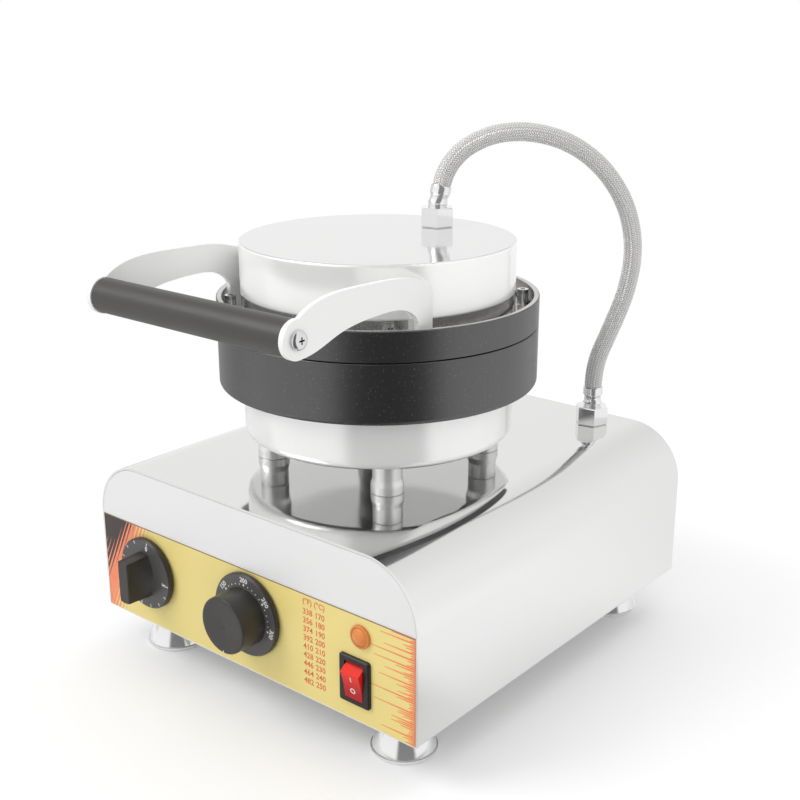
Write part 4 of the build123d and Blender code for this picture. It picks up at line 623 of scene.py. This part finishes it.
# The red is darker towards the bottom of the rocker and brighter towards its top.
height_tone = ramp(tree, along_z, rocker_low_z, rocker_high_z)
rocker_red = blend_colours(tree, height_tone, rocker_low_red, rocker_high_red)
tree.links.new(rocker_red, sockets["Base Color"])
moulding = place_effect(tree, skin, Base=0.18, Spread=0.1)
tree.links.new(moulding["Roughness"], sockets["Roughness"])
dress(red_rocker, "switch_rocker")
white_mark, tree, sockets = new_material("white_mark", (0.80, 0.79, 0.77), 0.45)
coordinates, along_x, along_y, along_z = object_place(tree)
wear = noise(tree, coordinates, 700.0, 3.0)
white_colour = blend_colours(tree, wear, (0.66, 0.65, 0.63), (0.86, 0.85, 0.83))
tree.links.new(white_colour, sockets["Base Color"])
tree.links.new(compute(tree, "MULTIPLY_ADD", wear, 0.15, 0.38), sockets["Roughness"])
rocker_marks = (
    ("rocker_mark_on", "I", 0.0034, (0.087, -0.13374, 0.0538), radians(107.4)),
    ("rocker_mark_off", "O", 0.0034, (0.087, -0.13197, 0.0461), radians(99.0)),
)
for mark_name, mark, mark_height, mark_place, mark_lean in rocker_marks:
    rocker_mark = set_print(mark_name, mark, mark_height, mark_place, white_mark, lean=mark_lean)
    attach(rocker_mark, "rocker")

# Dials: dark plastic mouldings, each pushed onto a shaft, with a wide skirt behind a grip.
# A dial's marks are printed in white on its skirt's face, around its grip.
mark_colour = (0.74, 0.73, 0.71)
grip_tone, skirt_face_painted_lighter = (0.026, 0.024, 0.021), (0.068, 0.066, 0.065)
dial_place, inlet, outlet = new_effect(
    "dial_place", {"Centre X": 0.0, "Centre Z": 0.0}, ("Turn", "Reach")
)
coordinates, along_x, along_y, along_z = object_place(dial_place)
off_x = compute(dial_place, "SUBTRACT", along_x, inlet["Centre X"])
off_z = compute(dial_place, "SUBTRACT", along_z, inlet["Centre Z"])
turn_angle = compute(dial_place, "ARCTAN2", off_x, off_z)
reach_squared = compute(
    dial_place, "MULTIPLY_ADD", off_x, off_x, compute(dial_place, "MULTIPLY", off_z, off_z)
)
dial_place.links.new(compute(dial_place, "DEGREES", turn_angle), outlet["Turn"])
dial_place.links.new(compute(dial_place, "SQRT", reach_squared), outlet["Reach"])


def new_dial_plastic(name, centre_x, centre_z, face_y):
    """Make a dial's plastic; return it, tree, sockets, turn, reach, face mask and painted-light
    tone.
    """
    plastic, tree, sockets = new_material(name, grip_tone, 0.4)
    moulding = place_effect(tree, skin, Base=0.34, Spread=0.14)
    tree.links.new(moulding["Roughness"], sockets["Roughness"])
    raise_surface(tree, sockets, moulding["Height"], 0.00004)
    around_dial = place_effect(tree, dial_place, Centre_X=centre_x, Centre_Z=centre_z)
    coordinates, along_x, along_y, along_z = object_place(tree)
    off_face = compute(tree, "ABSOLUTE", compute(tree, "SUBTRACT", along_y, face_y))
    on_face = compute(tree, "LESS_THAN", off_face, 0.0002)
    # Painted light: the skirt's flat face is painted lighter than the rest of the same moulding.
    tone = blend_colours(tree, on_face, grip_tone, skirt_face_painted_lighter)
    return plastic, tree, sockets, around_dial["Turn"], around_dial["Reach"], on_face, tone


# Timer dial: a dark plastic moulding with a bar grip on a wide skirt, on the timer's shaft.
# Lines for the minutes run around the skirt, with a number at every fifth one.
timer_x, timer_z, timer_face_y = -0.0845, 0.063, -0.1340
timer_zero, timer_first, timer_pitch, timer_last = 10.0, 97.0, 24.0, 10
line_inner, line_outer, line_half_width = 0.0200, 0.0220, 0.0003
timer_number_ring, timer_number_height = 0.0180, 0.0031
timer_plastic, tree, sockets, turn, reach, on_face, tone = new_dial_plastic(
    "timer_plastic", timer_x, timer_z, timer_face_y
)
full_turn = compute(tree, "FLOORED_MODULO", turn, 360.0)
past_first = compute(tree, "SUBTRACT", full_turn, timer_first)
line_count = compute(tree, "MULTIPLY", past_first, 1 / timer_pitch)
nearest = compute(tree, "MAXIMUM", compute(tree, "ROUND", line_count), 0.0)
nearest = compute(tree, "MINIMUM", nearest, timer_last)
off_line = compute(tree, "MULTIPLY", compute(tree, "SUBTRACT", line_count, nearest), timer_pitch)
off_line = compute(tree, "ABSOLUTE", off_line)
off_zero = compute(tree, "ABSOLUTE", compute(tree, "SUBTRACT", full_turn, timer_zero))
off_line = compute(tree, "MINIMUM", off_line, off_zero)
line_side = compute(tree, "MULTIPLY", compute(tree, "RADIANS", off_line), reach)
line_mask = compute(tree, "LESS_THAN", line_side, line_half_width)
line_mask = compute(tree, "MULTIPLY", line_mask, compute(tree, "GREATER_THAN", reach, line_inner))
line_mask = compute(tree, "MULTIPLY", line_mask, compute(tree, "LESS_THAN", reach, line_outer))
line_mask = compute(tree, "MULTIPLY", line_mask, on_face)
tree.links.new(blend_colours(tree, line_mask, tone, mark_colour), sockets["Base Color"])
dress(timer_plastic, "timer_knob")
for number, number_turn in (("0", timer_zero), ("5", timer_first), ("10", 217.0)):
    around_shaft = radians(number_turn)
    number_place = (
        timer_x + timer_number_ring * sin(around_shaft), timer_face_y,
        timer_z + timer_number_ring * cos(around_shaft),
    )
    timer_number = set_print(
        "timer_number_" + number, number, timer_number_height, number_place, white_mark,
        turn=around_shaft,
    )
    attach(timer_number, "timer")

# Thermostat dial: a dark plastic moulding with a round dished grip, on the thermostat's shaft.
# Its skirt has a dot every ten degrees and a number at every fifth dot, and its grip's edge a
# white line opposite the scale.
thermostat_x, thermostat_z, thermostat_face_y = 0.0046, 0.0644, -0.1334
dot_first, dot_pitch, dot_last, dot_ring, number_ring = -50.0, 10.2, 15, 0.0193, 0.0222
dot_radius, fifth_dot_extra, pointer_half_width = 0.0004, 0.0003, 0.0004
grip_edge_y, grip_edge_reach, dial_number_height = -0.1480, 0.0154, 0.0030
thermostat_plastic, tree, sockets, turn, reach, on_face, tone = new_dial_plastic(
    "thermostat_plastic", thermostat_x, thermostat_z, thermostat_face_y
)
coordinates, along_x, along_y, along_z = object_place(tree)
dot_count = compute(tree, "MULTIPLY", compute(tree, "SUBTRACT", turn, dot_first), 1 / dot_pitch)
nearest = compute(tree, "MAXIMUM", compute(tree, "ROUND", dot_count), 0.0)
nearest = compute(tree, "MINIMUM", nearest, dot_last)
off_dot = compute(tree, "MULTIPLY", compute(tree, "SUBTRACT", dot_count, nearest), dot_pitch)
dot_side = compute(tree, "MULTIPLY", compute(tree, "RADIANS", off_dot), reach)
dot_off = compute(tree, "SUBTRACT", reach, dot_ring)
dot_off_squared = compute(tree, "MULTIPLY", dot_off, dot_off)
dot_distance = compute(tree, "MULTIPLY_ADD", dot_side, dot_side, dot_off_squared)
dot_distance = compute(tree, "SQRT", dot_distance)
every_fifth = compute(tree, "LESS_THAN", compute(tree, "FLOORED_MODULO", nearest, 5.0), 0.5)
dot_size = compute(tree, "MULTIPLY_ADD", every_fifth, fifth_dot_extra, dot_radius)
dot_mask = compute(tree, "MULTIPLY", compute(tree, "LESS_THAN", dot_distance, dot_size), on_face)
off_pointer = compute(tree, "SUBTRACT", compute(tree, "FLOORED_MODULO", turn, 360.0), 180.0)
pointer_side = compute(tree, "MULTIPLY", compute(tree, "RADIANS", off_pointer), reach)
pointer_side = compute(tree, "ABSOLUTE", pointer_side)
pointer = compute(tree, "LESS_THAN", pointer_side, pointer_half_width)
pointer = compute(tree, "MULTIPLY", pointer, compute(tree, "LESS_THAN", along_y, grip_edge_y))
pointer = compute(tree, "MULTIPLY", pointer, compute(tree, "GREATER_THAN", reach, grip_edge_reach))
mark_mask = compute(tree, "MAXIMUM", dot_mask, pointer)
tree.links.new(blend_colours(tree, mark_mask, tone, mark_colour), sockets["Base Color"])
dress(thermostat_plastic, "thermostat_knob")
for number, number_turn in (("150", -50.0), ("200", 1.0), ("250", 52.0), ("300", 103.0)):
    around_shaft = radians(number_turn)
    number_place = (
        thermostat_x + number_ring * sin(around_shaft), thermostat_face_y,
        thermostat_z + number_ring * cos(around_shaft),
    )
    dial_number = set_print(
        "thermostat_number_" + number, number, dial_number_height, number_place, white_mark,
        turn=around_shaft,
    )
    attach(dial_number, "thermostat")

# Plastic works and fittings: timer and thermostat bodies, terminal block, mains gland and its nut.
# They are black mouldings inside the housing, and the gland is clamped in the rear plate.
dress(black_plastic, "timer_body", "thermostat_body", "terminal_block", "cable_gland", "gland_nut")

# Heating elements with their clamps, and the thermostat's bulb with its capillary tube.
# They are of steel darkened by heat. A dish clamps each element to the back of its mould, and
# the bulb lies in a pocket of the lower one.
heat_dark, heat_pale = (0.12, 0.11, 0.105), (0.36, 0.33, 0.3)
heater_steel, tree, sockets = new_material("heater_steel", (0.22, 0.2, 0.185), 0.45, 1.0)
coordinates, along_x, along_y, along_z = object_place(tree)
heat_scale = noise(tree, coordinates, 90.0, 4.0)
tree.links.new(blend_colours(tree, heat_scale, heat_dark, heat_pale), sockets["Base Color"])
tree.links.new(compute(tree, "MULTIPLY_ADD", heat_scale, 0.3, 0.3), sockets["Roughness"])
dress(
    heater_steel, "lower_heater", "upper_heater", "lower_heater_clamp", "upper_heater_clamp",
    "thermostat_bulb", "thermostat_capillary",
)

# Stage: a plain pale floor that turns to plain white away from the machine, and soft studio light.
# Metal sees the same white room, with soft darker screens that stand around it. Of a screen, the
# bearing, the half width and the soft edge are in degrees, and the last value is its darkness.
studio_screens = (
    (-44.0, 24.0, 14.0, 0.85),
    (78.0, 10.0, 42.0, 0.12),
    (-178.0, 20.0, 18.0, 0.3),
)
floor_seen_near, floor_seen_far = 0.3, 0.75
floor_mirrored_near, floor_mirrored_far = 0.15, 0.27


def screen_strength(tree, along_x, along_y):
    """Return how bright the studio is in a direction: 1, and less at the soft dark screens."""
    bearing = compute(tree, "DEGREES", compute(tree, "ARCTAN2", along_y, along_x))
    strength = None
    for middle, half_width, edge, depth in studio_screens:
        off = compute(tree, "WRAP", compute(tree, "SUBTRACT", bearing, middle), 180.0, -180.0)
        off = compute(tree, "ABSOLUTE", off)
        screen = compute(tree, "SUBTRACT", 1.0, ramp(tree, off, half_width, half_width + edge))
        screen = compute(tree, "MULTIPLY_ADD", screen, -depth, 1.0)
        strength = screen if strength is None else compute(tree, "MULTIPLY", strength, screen)
    return strength


def seen_rays(tree):
    """Return the mask of camera and transmission rays, and the mask of glossy rays."""
    rays = tree.nodes.new("ShaderNodeLightPath").outputs
    direct = compute(tree, "MAXIMUM", rays["Is Camera Ray"], rays["Is Transmission Ray"])
    return direct, rays["Is Glossy Ray"]


def white_for(tree, direct, glossy, screens):
    """Return a strength of 1 for camera rays and the screens' strength for glossy rays."""
    glossy_strength = compute(tree, "MULTIPLY", glossy, screens)
    return compute(tree, "MAXIMUM", direct, glossy_strength)


bpy.ops.object.select_all(action="DESELECT")
bpy.ops.mesh.primitive_plane_add(size=12.0, location=(0.0, 0.0, 0.0))
floor = bpy.context.object
floor.name = "floor"
floor_material = bpy.data.materials.new("floor")
floor_material.use_nodes = True
tree = floor_material.node_tree
tree.nodes.clear()
coordinates, along_x, along_y, along_z = object_place(tree)
direct, glossy = seen_rays(tree)
seen = compute(tree, "MAXIMUM", direct, glossy)
along_y_squared = compute(tree, "MULTIPLY", along_y, along_y)
floor_reach = compute(tree, "MULTIPLY_ADD", along_x, along_x, along_y_squared)
floor_reach = compute(tree, "SQRT", floor_reach)
far_seen = ramp(tree, floor_reach, floor_seen_near, floor_seen_far)
far_mirrored = ramp(tree, floor_reach, floor_mirrored_near, floor_mirrored_far)
far_seen = compute(tree, "MULTIPLY", far_seen, direct)
far_mirrored = compute(tree, "MULTIPLY", far_mirrored, glossy)
far = compute(tree, "MAXIMUM", far_seen, far_mirrored)
floor_diffuse = tree.nodes.new("ShaderNodeBsdfDiffuse")
floor_diffuse.inputs["Color"].default_value = (0.80, 0.80, 0.80, 1.0)
floor_glow = tree.nodes.new("ShaderNodeEmission")
tree.links.new(compute(tree, "MULTIPLY", seen, 0.12), floor_glow.inputs["Strength"])
floor_near = tree.nodes.new("ShaderNodeAddShader")
tree.links.new(floor_diffuse.outputs[0], floor_near.inputs[0])
tree.links.new(floor_glow.outputs[0], floor_near.inputs[1])
floor_far = tree.nodes.new("ShaderNodeEmission")
screens = screen_strength(tree, along_x, along_y)
tree.links.new(white_for(tree, direct, glossy, screens), floor_far.inputs["Strength"])
floor_mix = tree.nodes.new("ShaderNodeMixShader")
tree.links.new(far, floor_mix.inputs["Fac"])
tree.links.new(floor_near.outputs[0], floor_mix.inputs[1])
tree.links.new(floor_far.outputs[0], floor_mix.inputs[2])
floor_output = tree.nodes.new("ShaderNodeOutputMaterial")
tree.links.new(floor_mix.outputs[0], floor_output.inputs["Surface"])
floor.data.materials.append(floor_material)

world = bpy.data.worlds.new("studio")
bpy.context.scene.world = world
world.use_nodes = True
tree = world.node_tree
tree.nodes.clear()
bearing_parts = tree.nodes.new("ShaderNodeSeparateXYZ")
tree.links.new(tree.nodes.new("ShaderNodeTexCoord").outputs["Generated"], bearing_parts.inputs[0])
direct, glossy = seen_rays(tree)
screens = screen_strength(tree, bearing_parts.outputs[0], bearing_parts.outputs[1])
world_plain = tree.nodes.new("ShaderNodeBackground")
world_plain.inputs["Strength"].default_value = 0.88
world_plain.inputs["Color"].default_value = (1.0, 1.0, 1.0, 1.0)
world_seen = tree.nodes.new("ShaderNodeBackground")
world_seen.inputs["Color"].default_value = (1.0, 1.0, 1.0, 1.0)
tree.links.new(white_for(tree, direct, glossy, screens), world_seen.inputs["Strength"])
world_mix = tree.nodes.new("ShaderNodeMixShader")
tree.links.new(compute(tree, "MAXIMUM", direct, glossy), world_mix.inputs["Fac"])
tree.links.new(world_plain.outputs[0], world_mix.inputs[1])
tree.links.new(world_seen.outputs[0], world_mix.inputs[2])
world_output = tree.nodes.new("ShaderNodeOutputWorld")
tree.links.new(world_mix.outputs[0], world_output.inputs["Surface"])

# The key lamp alone shows in the polished steel.
lamp_target = Vector((0.0, 0.0, 0.18))
lamps = (
    ("key_lamp", (-0.9, -1.2, 1.5), 1.0, 16.0, True),
    ("side_lamp", (1.5, -0.2, 1.0), 0.9, 2.5, False),
    ("back_lamp", (0.2, 1.3, 1.3), 1.0, 6.0, False),
)
for lamp_name, lamp_place, lamp_width, lamp_watts, lamp_mirrored in lamps:
    lamp_data = bpy.data.lights.new(lamp_name, "AREA")
    lamp_data.shape = "SQUARE"
    lamp_data.size = lamp_width
    lamp_data.energy = lamp_watts
    lamp = bpy.data.objects.new(lamp_name, lamp_data)
    lamp.location = lamp_place
    lamp.visible_glossy = lamp_mirrored
    lamp.rotation_euler = (lamp_target - lamp.location).to_track_quat("-Z", "Y").to_euler()
    bpy.context.scene.collection.objects.link(lamp)

# Camera: at the photograph's viewing angle, in front of the machine, to its right and above it.
# Its place and its lens were fitted to the machine's edges and circles.
camera_data = bpy.data.cameras.new("camera")
camera = bpy.data.objects.new("camera", camera_data)
bpy.context.scene.collection.objects.link(camera)
bpy.context.scene.camera = camera
camera_data.sensor_width = 36.0
camera_data.lens = 55.16
camera_data.clip_end = 20.0
camera.location = (0.4792, -0.5628, 0.4017)
camera_target = Vector((0.0014, 0.0107, 0.1583))
camera.rotation_euler = (camera_target - camera.location).to_track_quat("-Z", "Y").to_euler()
bpy.context.scene.view_settings.view_transform = "Standard"
